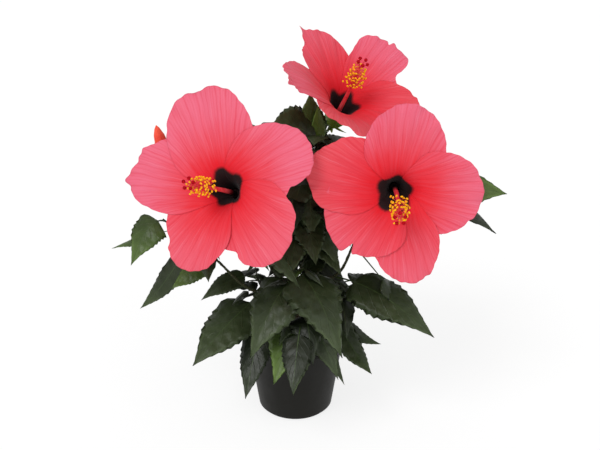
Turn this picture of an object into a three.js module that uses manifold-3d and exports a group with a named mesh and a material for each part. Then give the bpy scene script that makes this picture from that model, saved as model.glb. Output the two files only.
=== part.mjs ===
// A potted tropical hibiscus: three large open blooms and a bud above dark pointed leaves,
// in a plain round pot filled with soil.
// Millimetres, +Z up. The origin is the centre of the pot's underside, and the blooms face -Y.
import * as THREE from 'three';
import { mergeVertices } from 'three/addons/utils/BufferGeometryUtils.js';
import Module from 'manifold-3d';

const wasm = await Module();
wasm.setup();

// Clearances
const SEAT = 0.3; // between two pieces that touch on the real plant
const LEAF_ROOM = 0.8; // least air round a leaf that the rule places

// Pot and soil
const POT_HEIGHT = 90;
const POT_BASE_RADIUS = 39;
const POT_RIM_RADIUS = 52.5;
const POT_WALL = 1.6;
const LIP_HEIGHT = 10;
const LIP_STEP = 2;
const FOOT_BEVEL = 2.5;
const SOIL_TOP = 79;
const SOIL_CROWN = 2;
const DRAIN_RADIUS = 3.5;
const DRAIN_RING = 24;
const DRAIN_COUNT = 6;
const POT_SIDES = 32;

// Trunk
const TRUNK_FOOT = SOIL_TOP + SOIL_CROWN + SEAT;
const TRUNK_TOP = 136;
const TRUNK_PATH = [[1, 2, TRUNK_FOOT - 3], [0, 1, 100], [-1, 0, 118], [0, 1, TRUNK_TOP + 3]];
const TRUNK_RADII = [9.5, 6.4, 5.6, 4.4];

// Blooms
const PETAL_THICKNESS = 1.05;
const PETAL_LENGTH = 104;
const PETAL_HALF_WIDTH = 43;
const THROAT_RADIUS = 4.7;
const THROAT_LEAN = 17;
const PETAL_LAYERS = 1.9; // lift for each radian round the flower, which tucks each edge over the next
const TIP_ROUND = 0.2;
const RUFFLE = 1.5;
const COLUMN_LENGTH = 80;
const COLUMN_RADIUS = 2.5;
const STAMENS = 14;
const STIGMAS = 5;
const CUP_DEPTH = 6;
const SEPAL_CLEAR = 3.7;
const SEPAL_LENGTH = 30;
const SEPAL_NOTCH = 11;
const BRACTS = 5;
const STALK_RADIUS = 1.6;
const BUD_LENGTH = 44;
const BUD_RADIUS = 6.5;

// Leaves
const LEAF_THICKNESS = 1.8;
const LEAF_FOLD = 0.16;
const PETIOLE_HALF_WIDTH = 0.9;
const TWIG_RADII = [1.3, 0.9];
const SHOOT_RADII = [1.8, 1.5, 1.1];
const BOUGH_RADII = [2.8, 2.3, 1.7];
const GOLDEN_TURN = 137.5;

const rad = THREE.MathUtils.degToRad;
const smooth = (low, high, x) => THREE.MathUtils.smoothstep(x, low, high);
const vector = (list) => new THREE.Vector3(...list);

/** A number from 0 to 1 that depends only on its seed. */
function chance(seed) {
  const wave = Math.sin(seed * 12.9898) * 43758.5453;
  return wave - Math.floor(wave);
}

/** Straight-line interpolation in a list of evenly spaced values. */
function along(values, share) {
  const place = Math.min(Math.max(share, 0), 1) * (values.length - 1);
  const low = Math.min(Math.floor(place), values.length - 2);
  return values[low] + (values[low + 1] - values[low]) * (place - low);
}

/** A point of the crown from its heading round the trunk in degrees, its reach and its height. */
function crownPoint(heading, reach, height) {
  return new THREE.Vector3(reach * Math.cos(rad(heading)), reach * Math.sin(rad(heading)), height);
}

/** Keeps only positions, joins shared corners, drops faces without area and turns the rest outwards. */
function closed(geometry) {
  const bare = geometry.clone();
  bare.deleteAttribute('normal');
  bare.deleteAttribute('uv');
  const joined = mergeVertices(bare, 1e-4);
  const place = joined.attributes.position;
  const all = joined.index.array;
  const index = [];
  for (let i = 0; i < all.length; i += 3) {
    const corners = [all[i], all[i + 1], all[i + 2]];
    if (new Set(corners).size === 3) index.push(...corners);
  }
  const [a, b, c] = [new THREE.Vector3(), new THREE.Vector3(), new THREE.Vector3()];
  let volume = 0;
  for (let i = 0; i < index.length; i += 3) {
    a.fromBufferAttribute(place, index[i]);
    b.fromBufferAttribute(place, index[i + 1]);
    c.fromBufferAttribute(place, index[i + 2]);
    volume += a.dot(b.cross(c));
  }
  if (volume < 0) {
    for (let i = 0; i < index.length; i += 3) [index[i], index[i + 1]] = [index[i + 1], index[i]];
  }
  joined.setIndex(index);
  return joined;
}

/** Moves every vertex of a closed geometry by a function of its place. */
function shaped(geometry, place) {
  const joined = closed(geometry);
  const at = joined.attributes.position;
  for (let i = 0; i < at.count; i += 1) {
    const moved = place(at.getX(i), at.getY(i), at.getZ(i));
    at.setXYZ(i, moved.x, moved.y, moved.z);
  }
  return closed(joined);
}

function toSolid(geometry) {
  const joined = closed(geometry);
  return new wasm.Manifold(new wasm.Mesh({
    numProp: 3,
    vertProperties: new Float32Array(joined.attributes.position.array),
    triVerts: new Uint32Array(joined.index.array),
  }));
}

/** The largest piece of a solid that a cut has left in several. */
function mainPiece(solid) {
  return solid.decompose().reduce((best, piece) => (piece.volume() > best.volume() ? piece : best));
}

function toGeometry(solid) {
  const mesh = solid.getMesh();
  const geometry = new THREE.BufferGeometry();
  geometry.setAttribute('position', new THREE.BufferAttribute(mesh.vertProperties, 3));
  geometry.setIndex(new THREE.BufferAttribute(mesh.triVerts, 1));
  return geometry;
}

/** A round limb that tapers along a smooth curve through its points, with flat ends. */
function limb(path, radii, sides = 7, steps = 5, grow = 0) {
  const curve = new THREE.CatmullRomCurve3(path.map(vector));
  const frames = curve.computeFrenetFrames(steps, false);
  const geometry = new THREE.CylinderGeometry(1, 1, 1, sides, steps);
  return toSolid(shaped(geometry, (x, y, z) => {
    const share = y + 0.5;
    const step = Math.round(share * steps);
    const radius = along(radii, share) + grow;
    return curve.getPointAt(share)
      .addScaledVector(frames.normals[step], x * radius)
      .addScaledVector(frames.binormals[step], z * radius);
  }));
}

// Pot

function potSolid() {
  const base = POT_BASE_RADIUS;
  const neck = POT_RIM_RADIUS - LIP_STEP;
  const profile = [
    [0, 0], [base - FOOT_BEVEL, 0], [base, FOOT_BEVEL],
    [neck, POT_HEIGHT - LIP_HEIGHT], [POT_RIM_RADIUS, POT_HEIGHT - LIP_HEIGHT],
    [POT_RIM_RADIUS, POT_HEIGHT], [POT_RIM_RADIUS - POT_WALL - 0.6, POT_HEIGHT],
    [neck - POT_WALL, POT_HEIGHT - LIP_HEIGHT - 2], [base - POT_WALL, FOOT_BEVEL + POT_WALL],
    [0, FOOT_BEVEL + POT_WALL],
  ].map(([r, z]) => new THREE.Vector2(r, z));
  let pot = toSolid(new THREE.LatheGeometry(profile, POT_SIDES).rotateX(Math.PI / 2));
  for (let i = 0; i < DRAIN_COUNT; i += 1) {
    const turn = (i / DRAIN_COUNT) * 2 * Math.PI;
    const hole = new THREE.CylinderGeometry(DRAIN_RADIUS, DRAIN_RADIUS, 20, 8).rotateX(Math.PI / 2);
    hole.translate(DRAIN_RING * Math.cos(turn), DRAIN_RING * Math.sin(turn), 0);
    pot = pot.subtract(toSolid(hole));
  }
  return pot;
}

function soilSolid() {
  const wallAt = (height) => {
    const share = (height - FOOT_BEVEL) / (POT_HEIGHT - LIP_HEIGHT - FOOT_BEVEL);
    return THREE.MathUtils.lerp(POT_BASE_RADIUS, POT_RIM_RADIUS - LIP_STEP, share) - POT_WALL - SEAT - 0.4;
  };
  const bottom = FOOT_BEVEL + POT_WALL + SEAT;
  const profile = [
    [0, bottom], [wallAt(bottom) - 1, bottom], [wallAt(SOIL_TOP - 3) - 0.4, SOIL_TOP - 3],
    [wallAt(SOIL_TOP - 3) - 4, SOIL_TOP], [14, SOIL_TOP + SOIL_CROWN], [0, SOIL_TOP + SOIL_CROWN],
  ].map(([r, z]) => new THREE.Vector2(r, z));
  return toSolid(new THREE.LatheGeometry(profile, POT_SIDES).rotateX(Math.PI / 2));
}

// Blooms. Each is modelled facing +Z with its petals' roots at z = 0, then turned to where it looks.
// A petal's turn is its direction in degrees, anticlockwise as one looks into the flower.
// Its open is the angle at which it leans away from the flower's axis.

const BLOOMS = [
  {
    name: 'left', centre: [-55, -45, 261], azimuth: 250, elevation: 28, bend: [-15, -3],
    petals: [
      { turn: 109, length: 1.03, width: 1.24, open: 84 },
      { turn: 175, length: 1.06, width: 1.0, open: 84 },
      { turn: 246, length: 0.98, width: 0.88, open: 84 },
      { turn: 321, length: 0.98, width: 1.08, open: 84 },
      { turn: 392, length: 1.02, width: 1.06, open: 84 },
    ],
  },
  {
    name: 'right', centre: [93, -41, 266], azimuth: 271, elevation: 14, bend: [-4, -19],
    petals: [
      { turn: 82, length: 0.92, width: 1.0, open: 84 },
      { turn: 160, length: 0.99, width: 1.02, open: 84 },
      { turn: 221, length: 0.9, width: 1.14, open: 84 },
      { turn: 283, length: 0.98, width: 0.86, open: 84 },
      { turn: 357, length: 0.89, width: 1.08, open: 84 },
    ],
  },
  {
    name: 'top', centre: [38, 34, 306], azimuth: 306, elevation: 55, bend: [-3, 5],
    petals: [
      { turn: 108, length: 0.97, width: 0.74, open: 62 },
      { turn: 168, length: 1.02, width: 0.62, open: 52 },
      { turn: 250, length: 0.94, width: 0.9, open: 53 },
      { turn: 311, length: 0.86, width: 0.98, open: 62 },
      { turn: 386, length: 0.95, width: 1.06, open: 62 },
    ],
  },
];

const PETAL_ROWS = [0, 0.1, 0.2, 0.29, 0.38, 0.48, 0.7, 1];
const PETAL_WIDTHS = [0.055, 0.108, 0.235, 0.4, 0.57, 0.74, 0.98, 0.8];

/** How far the petals stand open at an angle round the flower, blended between its petals. */
function openAt(bloom, angle) {
  let sum = 0;
  let weight = 0;
  for (const petal of bloom.petals) {
    const share = Math.exp(5 * Math.cos(angle - rad(petal.turn)));
    sum += share * petal.open;
    weight += share;
  }
  return sum / weight;
}

/** Radius, height and lean of the corolla's section at an arc length from the petals' roots. */
function section(arc, open) {
  const steps = 14;
  let radius = THROAT_RADIUS;
  let height = 0;
  const lean = (a) => rad(THROAT_LEAN + (open - THROAT_LEAN) * smooth(12, 50, a) + 12 * smooth(60, 105, a));
  for (let i = 0; i < steps; i += 1) {
    const a = ((i + 0.5) / steps) * arc;
    radius += (Math.sin(lean(a)) * arc) / steps;
    height += (Math.cos(lean(a)) * arc) / steps;
  }
  return { radius, height, lean: lean(arc) };
}

/** The angle of a petal's middle line: evenly spaced at the roots, then turning to its own direction. */
function petalTurn(bloom, index, arc) {
  const root = bloom.petals[0].turn + 72 * index;
  return rad(THREE.MathUtils.lerp(root, bloom.petals[index].turn, smooth(16, 50, arc)));
}

/** A point of a petal, with s from root to tip, t from edge to edge and lift off its middle surface. */
function petalPoint(bloom, index, s, t, lift) {
  const petal = bloom.petals[index];
  const reach = petal.length * (1 - TIP_ROUND * Math.abs(t) ** 2.4);
  const arc = s * PETAL_LENGTH * THREE.MathUtils.lerp(1, reach, smooth(0.25, 0.9, s));
  const share = PETAL_ROWS.findLastIndex((row) => row <= s);
  const widen = THREE.MathUtils.lerp(1, petal.width, smooth(5, 40, arc));
  const half = PETAL_HALF_WIDTH * PETAL_WIDTHS[share] * widen;
  const turn = petalTurn(bloom, index, arc);
  const around = (t * half) / section(arc, petal.open).radius;
  const { radius, height, lean } = section(arc, openAt(bloom, turn + around));
  const wave = RUFFLE * Math.sin(5 * (turn + around)) * smooth(45, 95, arc);
  const off = lift + wave + PETAL_LAYERS * around * smooth(1, 12, arc);
  const out = radius - Math.cos(lean) * off;
  return new THREE.Vector3(
    out * Math.cos(turn + around),
    out * Math.sin(turn + around),
    height + Math.sin(lean) * off,
  );
}

/** A petal: a sheet that thins out to its rim. */
function petalSolid(bloom, index) {
  const rows = PETAL_ROWS.length - 1;
  const geometry = new THREE.BoxGeometry(2, 1, 1, 6, rows, 1);
  return toSolid(shaped(geometry, (x, y, z) => {
    const row = PETAL_ROWS[Math.round((y + 0.5) * rows)];
    const rim = Math.abs(x) > 0.99 || y > 0.49;
    return petalPoint(bloom, index, row, x, rim ? 0 : z * PETAL_THICKNESS);
  }));
}

/** The column's middle line: up the axis, then gently bent. */
function columnCurve({ bend }) {
  const points = [0, 0.35, 0.7, 1].map((share) => new THREE.Vector3(
    bend[0] * share ** 2, bend[1] * share ** 2, -0.1 + COLUMN_LENGTH * share,
  ));
  return new THREE.CatmullRomCurve3(points);
}

/** The staminal column: a tapering tube with a brush of anthers and five stigmas. */
function columnSolid(bloom) {
  const curve = columnCurve(bloom);
  const spots = [0, 0.35, 0.7, 0.93].map((share) => curve.getPointAt(share).toArray());
  let solid = limb(spots, [COLUMN_RADIUS, 2.1, 1.8, 1.1], 6, 4);
  const arm = (share, turn, rise, reach, knob) => {
    const way = new THREE.Vector3(Math.cos(turn), Math.sin(turn), rise).normalize();
    const path = [0, 0.72, 0.86, 1].map((part) => (
      curve.getPointAt(share).addScaledVector(way, part * reach).toArray()
    ));
    solid = solid.add(limb(path, [0.5, 0.45, knob, 0.5], 3, 3));
  };
  for (let i = 0; i < STAMENS; i += 1) {
    arm(0.58 + (0.32 * i) / STAMENS, rad(GOLDEN_TURN * i), 0.35, 8 + 2 * chance(i), 1.3);
  }
  for (let i = 0; i < STIGMAS; i += 1) arm(0.92, rad(72 * i + 20), 1.9, 13, 1.7);
  return solid;
}

/** The calyx: a cup under the petals whose rim rises in five pointed lobes along the corolla. */
function calyxSolid(bloom) {
  const rise = [0.1, 0.55, 1];
  const last = 4 + 2 * rise.length - 1;
  const profile = Array.from({ length: last + 1 }, (_, row) => (
    new THREE.Vector2(row === 0 || row === last ? 0 : 1, row)
  ));
  const cup = new THREE.LatheGeometry(profile, 20).rotateX(Math.PI / 2);
  let solid = toSolid(shaped(cup, (x, y, z) => {
    const row = Math.round(z);
    const turn = Math.atan2(y, x);
    const lobe = Math.abs(((turn / rad(72)) % 1 + 1.5) % 1 - 0.5) * 2;
    const rim = THREE.MathUtils.lerp(SEPAL_LENGTH, SEPAL_NOTCH, lobe);
    const placeAt = (radius, height) => {
      const angle = turn + rad(bloom.petals[0].turn + 36);
      return new THREE.Vector3(radius * Math.cos(angle), radius * Math.sin(angle), height);
    };
    if (row === 0) return placeAt(0, -CUP_DEPTH);
    if (row === 1) return placeAt(2.6, -CUP_DEPTH);
    if (row === 2) return placeAt(6.6, -3.4);
    if (row === last) return placeAt(0, -0.6);
    const outside = row < 3 + rise.length;
    const arc = rim * rise[outside ? row - 3 : last - 1 - row];
    const thick = outside ? 1.0 : 0;
    const { radius, height, lean } = section(arc, openAt(bloom, turn + rad(bloom.petals[0].turn + 36)) + 2);
    const off = SEPAL_CLEAR + thick * (1 - 0.3 * (arc / SEPAL_LENGTH));
    const floor = row === last - 1 ? -0.6 : height - Math.sin(lean) * off;
    return placeAt(radius + Math.cos(lean) * off, floor);
  }));
  for (let i = 0; i < BRACTS; i += 1) {
    const turn = ((i + 0.5) / BRACTS) * 2 * Math.PI;
    const bract = new THREE.BoxGeometry(2, 1, 1, 1, 2, 1);
    solid = solid.add(toSolid(shaped(bract, (x, y, z) => {
      const share = y + 0.5;
      const out = 4 + 13 * share;
      const up = -4.4 + 5 * share ** 1.6 + z * 1.0;
      const half = along([1.3, 1.2, 0.3], share) * x;
      return new THREE.Vector3(
        out * Math.cos(turn) - half * Math.sin(turn),
        out * Math.sin(turn) + half * Math.cos(turn),
        up,
      );
    })));
  }
  return solid;
}

/** The turn and place that carry a bloom from +Z at the origin to where it looks in the crown. */
function bloomMatrix({ centre, azimuth, elevation }) {
  const axis = new THREE.Vector3(
    Math.cos(rad(elevation)) * Math.cos(rad(azimuth)),
    Math.cos(rad(elevation)) * Math.sin(rad(azimuth)),
    Math.sin(rad(elevation)),
  );
  const right = new THREE.Vector3(0, 0, 1).cross(axis).normalize();
  const up = axis.clone().cross(right);
  return new THREE.Matrix4().makeBasis(right, up, axis).setPosition(vector(centre));
}

const carried = (solid, matrix) => solid.transform(matrix.elements);

/** A closed bud: rolled petals in a slim spindle with a pointed tip. */
function budSolid() {
  const profile = [
    [0, 0], [0.5, 0], [0.74, 0.18], [0.94, 0.4], [1, 0.58], [0.78, 0.78], [0.38, 0.92], [0, 1],
  ].map(([r, z]) => new THREE.Vector2(r * BUD_RADIUS, z * BUD_LENGTH));
  return toSolid(new THREE.LatheGeometry(profile, 10).rotateX(Math.PI / 2));
}

/** The bud's calyx: a cup that clears the rolled petals. */
function budCalyxSolid() {
  const profile = [
    [0, -CUP_DEPTH], [1.8, -CUP_DEPTH], [5, -2], [6.6, 4], [7.6, 12], [7.3, 19],
    [6.8, 19], [6.8, 12], [5.4, 4], [3.8, -SEAT], [0, -SEAT],
  ].map(([r, z]) => new THREE.Vector2(r, z));
  return toSolid(new THREE.LatheGeometry(profile, 10).rotateX(Math.PI / 2));
}

// Shoots. Each bough runs from the trunk and ends where its foliage begins.
// The shoot's stem goes on from there.
// A leaf is given by where it leaves the shoot (from, 0 to 1) and by its tip: heading, reach and height.
// Its arch is how far it rises above the straight line from root to tip.
// Its petiole is its stalk's share of that line, and its roll is the tilt of its blade in degrees.
// The rule then adds twigs, and more leaves of about the given length on the shoot and its twigs.

const SHOOTS = [
  {
    name: 'left',
    bough: [[-1, 0, 129], [-22, -19, 139], [-48, -36, 157], [-75, -42, 189]],
    shoot: [[-100, -38, 209], [-128, -26, 226]],
    leaves: [
      { from: 0.75, heading: 182, reach: 184, height: 185, arch: 2, width: 20, roll: -15 },
      { from: 0.95, heading: 199, reach: 166, height: 190, arch: 14, width: 38, roll: -20 },
      { from: 0.5, heading: 194, reach: 159, height: 134, arch: 8, width: 32, petiole: 0.14, roll: -50 },
      { from: 0.05, heading: 210, reach: 136, height: 172, arch: 2, width: 22, roll: -30 },
    ],
    twigs: 1, more: 6, length: 70,
  },
  {
    name: 'low_left',
    bough: [[-1, 0, 109], [-14, -8, 118], [-25, -12, 130]],
    shoot: [[-33, -12, 142], [-40, -10, 157]],
    leaves: [
      { from: 0.32, heading: 221, reach: 131, height: 97, arch: 7, width: 42, roll: -12 },
      { from: 0.1, heading: 240, reach: 98, height: 58, arch: 7, width: 20, petiole: 0.4 },
      { from: 0.95, heading: 198, reach: 99, height: 139, arch: 8, width: 24, roll: -30 },
    ],
    twigs: 1, more: 8, length: 66,
  },
  {
    name: 'front',
    bough: [[0, 0, 118], [0, -14, 131], [0, -26, 150]],
    shoot: [[1, -36, 163], [3, -42, 178]],
    leaves: [
      { from: 0.75, heading: 246, reach: 105, height: 111, arch: 15, width: 53, petiole: 0.1 },
      { from: 0.95, heading: 294, reach: 110, height: 115, arch: 15, width: 48, petiole: 0.1 },
      { from: 0.5, heading: 350, reach: 34, height: 178, arch: 3, width: 26 },
      { from: 0.6, heading: 212, reach: 36, height: 184, arch: 2, width: 24, roll: -10 },
    ],
    twigs: 1, more: 8, length: 52,
  },
  {
    name: 'front_low',
    bough: [[0, 0, 101], [4, -13, 108], [7, -26, 118]],
    shoot: [[8, -42, 127], [8, -55, 134]],
    leaves: [
      { from: 0.35, heading: 256, reach: 80, height: 72, arch: 15, width: 32, petiole: 0.12, roll: -35 },
      { from: 0.98, heading: 269, reach: 95, height: 69, arch: 8, width: 30, petiole: 0.3 },
      { from: 0.6, heading: 297, reach: 93, height: 79, arch: 13, width: 34, petiole: 0.16, roll: 20 },
      { from: 0.1, heading: 306, reach: 84, height: 63, arch: 8, width: 20, roll: 20 },
    ],
    twigs: 0, more: 6, length: 46,
  },
  {
    name: 'low_right',
    bough: [[0, 0, 114], [14, -7, 120], [28, -12, 128]],
    shoot: [[38, -15, 138], [47, -18, 153]],
    leaves: [
      { from: 0.2, heading: 315, reach: 107, height: 81, arch: 8, width: 34 },
      { from: 0.1, heading: 347, reach: 91, height: 82, arch: 6, width: 22, roll: 20 },
      { from: 0.5, heading: 351, reach: 96, height: 113, arch: 6, width: 26, roll: 20 },
      { from: 0.8, heading: 328, reach: 112, height: 138, arch: 10, width: 38, roll: 15 },
      { from: 0.97, heading: 4, reach: 92, height: 138, arch: 4, width: 30, roll: 15 },
      { from: 0.7, heading: 333, reach: 66, height: 126, arch: 5, width: 30, roll: 10 },
    ],
    twigs: 1, more: 8, length: 66,
  },
  {
    name: 'right',
    bough: [[0, 0, 130], [24, -10, 146], [45, -19, 166], [58, -23, 199]],
    shoot: [[82, -14, 226], [114, -6, 248]],
    leaves: [
      { from: 0.15, heading: 331, reach: 154, height: 122, arch: 3, width: 44, roll: 10 },
      { from: 0.9, heading: 357, reach: 207, height: 246, arch: 8, width: 46, roll: 50 },
    ],
    twigs: 2, more: 10, length: 76,
  },
  {
    name: 'centre',
    bough: [[0, 1, TRUNK_TOP - 3], [0, 1, 150], [5, 3, 184]],
    shoot: [[10, 3, 240], [24, 5, 296]],
    leaves: [
      { from: 0.9, heading: 232, reach: 38, height: 320, arch: 11, width: 54, petiole: 0.1, roll: -65 },
      { from: 0.7, heading: 262, reach: 24, height: 226, arch: 12, width: 38, roll: -20 },
      { from: 0.12, heading: 320, reach: 60, height: 170, arch: 12, width: 34 },
      { from: 0.08, heading: 215, reach: 58, height: 172, arch: 12, width: 34 },
      { from: 0.8, heading: 40, reach: 86, height: 276, arch: 8, width: 32, roll: 30 },
      { from: 0.42, heading: 226, reach: 50, height: 192, arch: 8, width: 36 },
      { from: 0.36, heading: 292, reach: 54, height: 188, arch: 8, width: 36 },
      { from: 0.24, heading: 264, reach: 60, height: 178, arch: 10, width: 34 },
    ],
    twigs: 2, more: 26, length: 70,
  },
  {
    name: 'back_left',
    bough: [[-1, 1, 122], [-18, 18, 138], [-34, 32, 160]],
    shoot: [[-48, 42, 200], [-44, 44, 246], [-30, 38, 290]],
    leaves: [{ from: 0.99, heading: 60, reach: 25, height: 339, arch: 3, width: 30 }],
    twigs: 3, more: 26, length: 82,
  },
  {
    name: 'back_right',
    bough: [[0, 1, 120], [20, 18, 138], [36, 32, 162]],
    shoot: [[56, 46, 200], [72, 56, 256]],
    leaves: [],
    twigs: 3, more: 26, length: 82,
  },
  {
    name: 'back',
    bough: [[0, 2, 106], [0, 20, 118], [0, 38, 136]],
    shoot: [[-2, 56, 168], [-6, 66, 214]],
    leaves: [],
    twigs: 2, more: 24, length: 80,
  },
];

// Open air under the left and right blooms, through the whole crown, that the rule's leaves leave free.
const OPEN_AIR = [
  { path: [[59, -120, 221], [77, 140, 89]], radius: 12 },
  { path: [[-79, -140, 222], [-98, 120, 89]], radius: 11 },
];

// Flower stalks, each from a place along a shoot's stem (0 to 1) to the calyx it carries.
const STALKS = [
  { name: 'stalk_left', from: 'left', at: 0.12, path: [[-86, -26, 212], [-68, -17, 232]], head: 'left' },
  { name: 'stalk_right', from: 'right', at: 0.45, path: [[86, -14, 240]], head: 'right' },
  { name: 'stalk_top', from: 'centre', at: 1, path: [], head: 'top' },
  { name: 'bud_stalk', from: 'left', at: 0.55, path: [[-111, -22, 236]], head: 'bud' },
];

const BUD = { name: 'bud', centre: [-122, -12, 274], azimuth: 175, elevation: 78 };

const LEAF_SHARES = [0, 0.14, 0.4, 0.72];
const LEAF_WIDTHS = [0.12, 0.82, 1.0, 0.62];

/** The middle line of a leaf from its root on the stem to its tip. */
function leafCurve({ root, tip, arch }) {
  const middle = root.clone().lerp(tip, 0.45);
  middle.z += arch * 2;
  return new THREE.QuadraticBezierCurve3(root, middle, tip);
}

/** A leaf on its petiole: an arched, pointed blade that is thickest at its midrib and thin at its edges. */
function leafSolid(leaf) {
  const curve = leafCurve(leaf);
  const rows = LEAF_SHARES.length + 1;
  return toSolid(shaped(new THREE.ConeGeometry(1, 1, 4, rows), (x, y, z) => {
    const row = Math.round((y + 0.5) * rows);
    if (row === rows) return leaf.tip.clone();
    const share = row === 0 ? 0 : leaf.petiole + (1 - leaf.petiole) * LEAF_SHARES[row - 1];
    const ahead = curve.getTangent(share);
    const side = new THREE.Vector3(ahead.y, -ahead.x, 0).normalize().applyAxisAngle(ahead, rad(leaf.roll));
    const top = side.clone().cross(ahead).normalize();
    const blade = row === 0 ? 0 : (leaf.width / 2) * LEAF_WIDTHS[row - 1];
    const across = x / (1 - row / rows);
    const up = z / (1 - row / rows);
    return curve.getPoint(share)
      .addScaledVector(side, across * Math.max(PETIOLE_HALF_WIDTH, blade))
      .addScaledVector(top, (up * LEAF_THICKNESS) / 2 - LEAF_FOLD * blade * Math.abs(across));
  }));
}

// Assembly

const finish = (name, color, roughness) => (
  new THREE.MeshStandardMaterial({ name, color, roughness, metalness: 0 })
);
const FINISH = {
  pot: finish('pot plastic', 0x26231f, 0.55),
  soil: finish('soil', 0x3a2a1e, 1.0),
  wood: finish('young bark', 0x5a5138, 0.85),
  leaf: finish('leaf green', 0x263322, 0.35),
  stem: finish('green stem', 0x4a5a2c, 0.6),
  petal: finish('coral petal', 0xee5a6c, 0.6),
  column: finish('staminal column', 0xf0a020, 0.6),
};

const plant = new THREE.Group();
const placed = []; // every finished solid, for the tests that keep leaves clear

function add(name, solid, material) {
  const parts = solid.decompose();
  if (parts.length !== 1) throw new Error(`${name} is in ${parts.length} pieces`);
  const mesh = new THREE.Mesh(toGeometry(solid), material);
  mesh.name = name;
  plant.add(mesh);
  placed.push({ solid, box: solid.boundingBox() });
}

/** Whether two boxes come within some room of each other. */
function near(a, b, room) {
  return [0, 1, 2].every((i) => a.min[i] < b.max[i] + room && b.min[i] < a.max[i] + room);
}

/** Whether a solid comes within some room of any of the others. */
function touches(solid, others, room) {
  const box = solid.boundingBox();
  return others.some((other) => near(box, other.box, room) && solid.minGap(other.solid, room) < room);
}

add('pot', potSolid(), FINISH.pot);
add('soil', soilSolid(), FINISH.soil);
const trunkBetween = (foot, top, grow) => (
  limb(TRUNK_PATH, TRUNK_RADII, 9, 6, grow).trimByPlane([0, 0, 1], foot).trimByPlane([0, 0, -1], -top)
);
const trunkRoom = trunkBetween(TRUNK_FOOT, TRUNK_TOP + SEAT, SEAT);
add('trunk', trunkBetween(TRUNK_FOOT, TRUNK_TOP, 0), FINISH.wood);

const masses = {};
for (const { name, bough, shoot } of SHOOTS) {
  add(`bough_${name}`, mainPiece(limb(bough, BOUGH_RADII, 6, 5).subtract(trunkRoom)), FINISH.wood);
  const ahead = new THREE.CatmullRomCurve3(bough.map(vector)).getTangentAt(1);
  const start = (gap) => vector(bough.at(-1)).addScaledVector(ahead, gap).toArray();
  const path = [start(SEAT + 0.1), start(5), ...shoot];
  masses[name] = {
    stems: [limb(path, SHOOT_RADII, 6, 5)],
    room: limb(path, SHOOT_RADII, 6, 5, SEAT),
    lines: [new THREE.CatmullRomCurve3(path.map(vector))],
    leaves: [],
  };
}

for (const bloom of BLOOMS) {
  const matrix = bloomMatrix(bloom);
  bloom.petals.forEach((petal, i) => {
    add(`bloom_${bloom.name}_petal_${i + 1}`, carried(petalSolid(bloom, i), matrix), FINISH.petal);
  });
  add(`bloom_${bloom.name}_column`, carried(columnSolid(bloom), matrix), FINISH.column);
  add(`bloom_${bloom.name}_calyx`, carried(calyxSolid(bloom), matrix), FINISH.stem);
}
add('bud', carried(budSolid(), bloomMatrix(BUD)), FINISH.petal);
add('bud_calyx', carried(budCalyxSolid(), bloomMatrix(BUD)), FINISH.stem);

for (const { name, from, at, path, head } of STALKS) {
  const matrix = bloomMatrix([...BLOOMS, BUD].find((flower) => flower.name === head));
  const below = (depth) => new THREE.Vector3(0, 0, -depth).applyMatrix4(matrix).toArray();
  const stem = masses[from].lines[0];
  const beyond = (gap) => stem.getPointAt(1).addScaledVector(stem.getTangentAt(1), gap).toArray();
  const start = at === 1 ? [beyond(SEAT + 0.1), beyond(4)] : [stem.getPointAt(at).toArray()];
  const points = [...start, ...path, below(CUP_DEPTH + 9), below(CUP_DEPTH + SEAT)];
  const stalk = limb(points, [STALK_RADIUS * 0.8, STALK_RADIUS * 0.8, STALK_RADIUS], 6, 6);
  add(name, mainPiece(stalk.subtract(masses[from].room)), FINISH.stem);
}

// Every stem is known before the first leaf, so that leaves keep clear of the stems of other masses too.
const growth = [];
const grown = (solid) => growth.push({ solid, box: solid.boundingBox() });
for (const { name } of SHOOTS) grown(masses[name].stems[0]);
const air = OPEN_AIR.map(({ path, radius }) => {
  const solid = limb(path, [radius, radius], 8, 1);
  return { solid, box: solid.boundingBox() };
});

/** Whether a new leaf or twig keeps its room to everything but the stems it may grow from. */
function isClear(solid, room, stems) {
  const others = growth.filter((other) => !stems.includes(other.solid));
  const kept = room === LEAF_ROOM ? air : [];
  return !touches(solid, [...placed, ...others, ...kept], room);
}

function placeLeaf(name, leaf, room) {
  const solid = leafSolid(leaf);
  if (!isClear(solid, room, masses[name].stems)) return;
  masses[name].leaves.push(solid);
  grown(solid);
}

// The leaves given one by one come first, then the rule's twigs and leaves.
// Each is kept clear of all before it.
for (const { name, leaves } of SHOOTS) {
  for (const { from, heading, reach, height, arch, width, petiole = 0.22, roll = 0 } of leaves) {
    const root = masses[name].lines[0].getPointAt(from);
    const tip = crownPoint(heading, reach, height);
    placeLeaf(name, { root, tip, arch, width, petiole, roll }, SEAT);
  }
}

/** Twigs branch from a shoot's stem a golden turn apart, leaning up and out. */
function growTwigs({ name, twigs, length }, seed) {
  for (let i = 0; i < twigs; i += 1) {
    const root = masses[name].lines[0].getPointAt(0.3 + (0.5 * i) / twigs);
    const heading = rad(GOLDEN_TURN * i + 360 * chance(seed + i));
    const reach = length * (0.44 + 0.16 * chance(seed + i + 50));
    const way = new THREE.Vector3(Math.cos(heading), Math.sin(heading), 0.7);
    const path = [root.toArray(), root.clone().addScaledVector(way, reach).toArray()];
    const solid = limb(path, TWIG_RADII, 5, 1);
    if (isClear(solid, LEAF_ROOM, [masses[name].stems[0]])) {
      masses[name].stems.push(solid);
      masses[name].lines.push(new THREE.CatmullRomCurve3(path.map(vector)));
      grown(solid);
    }
  }
}

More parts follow.
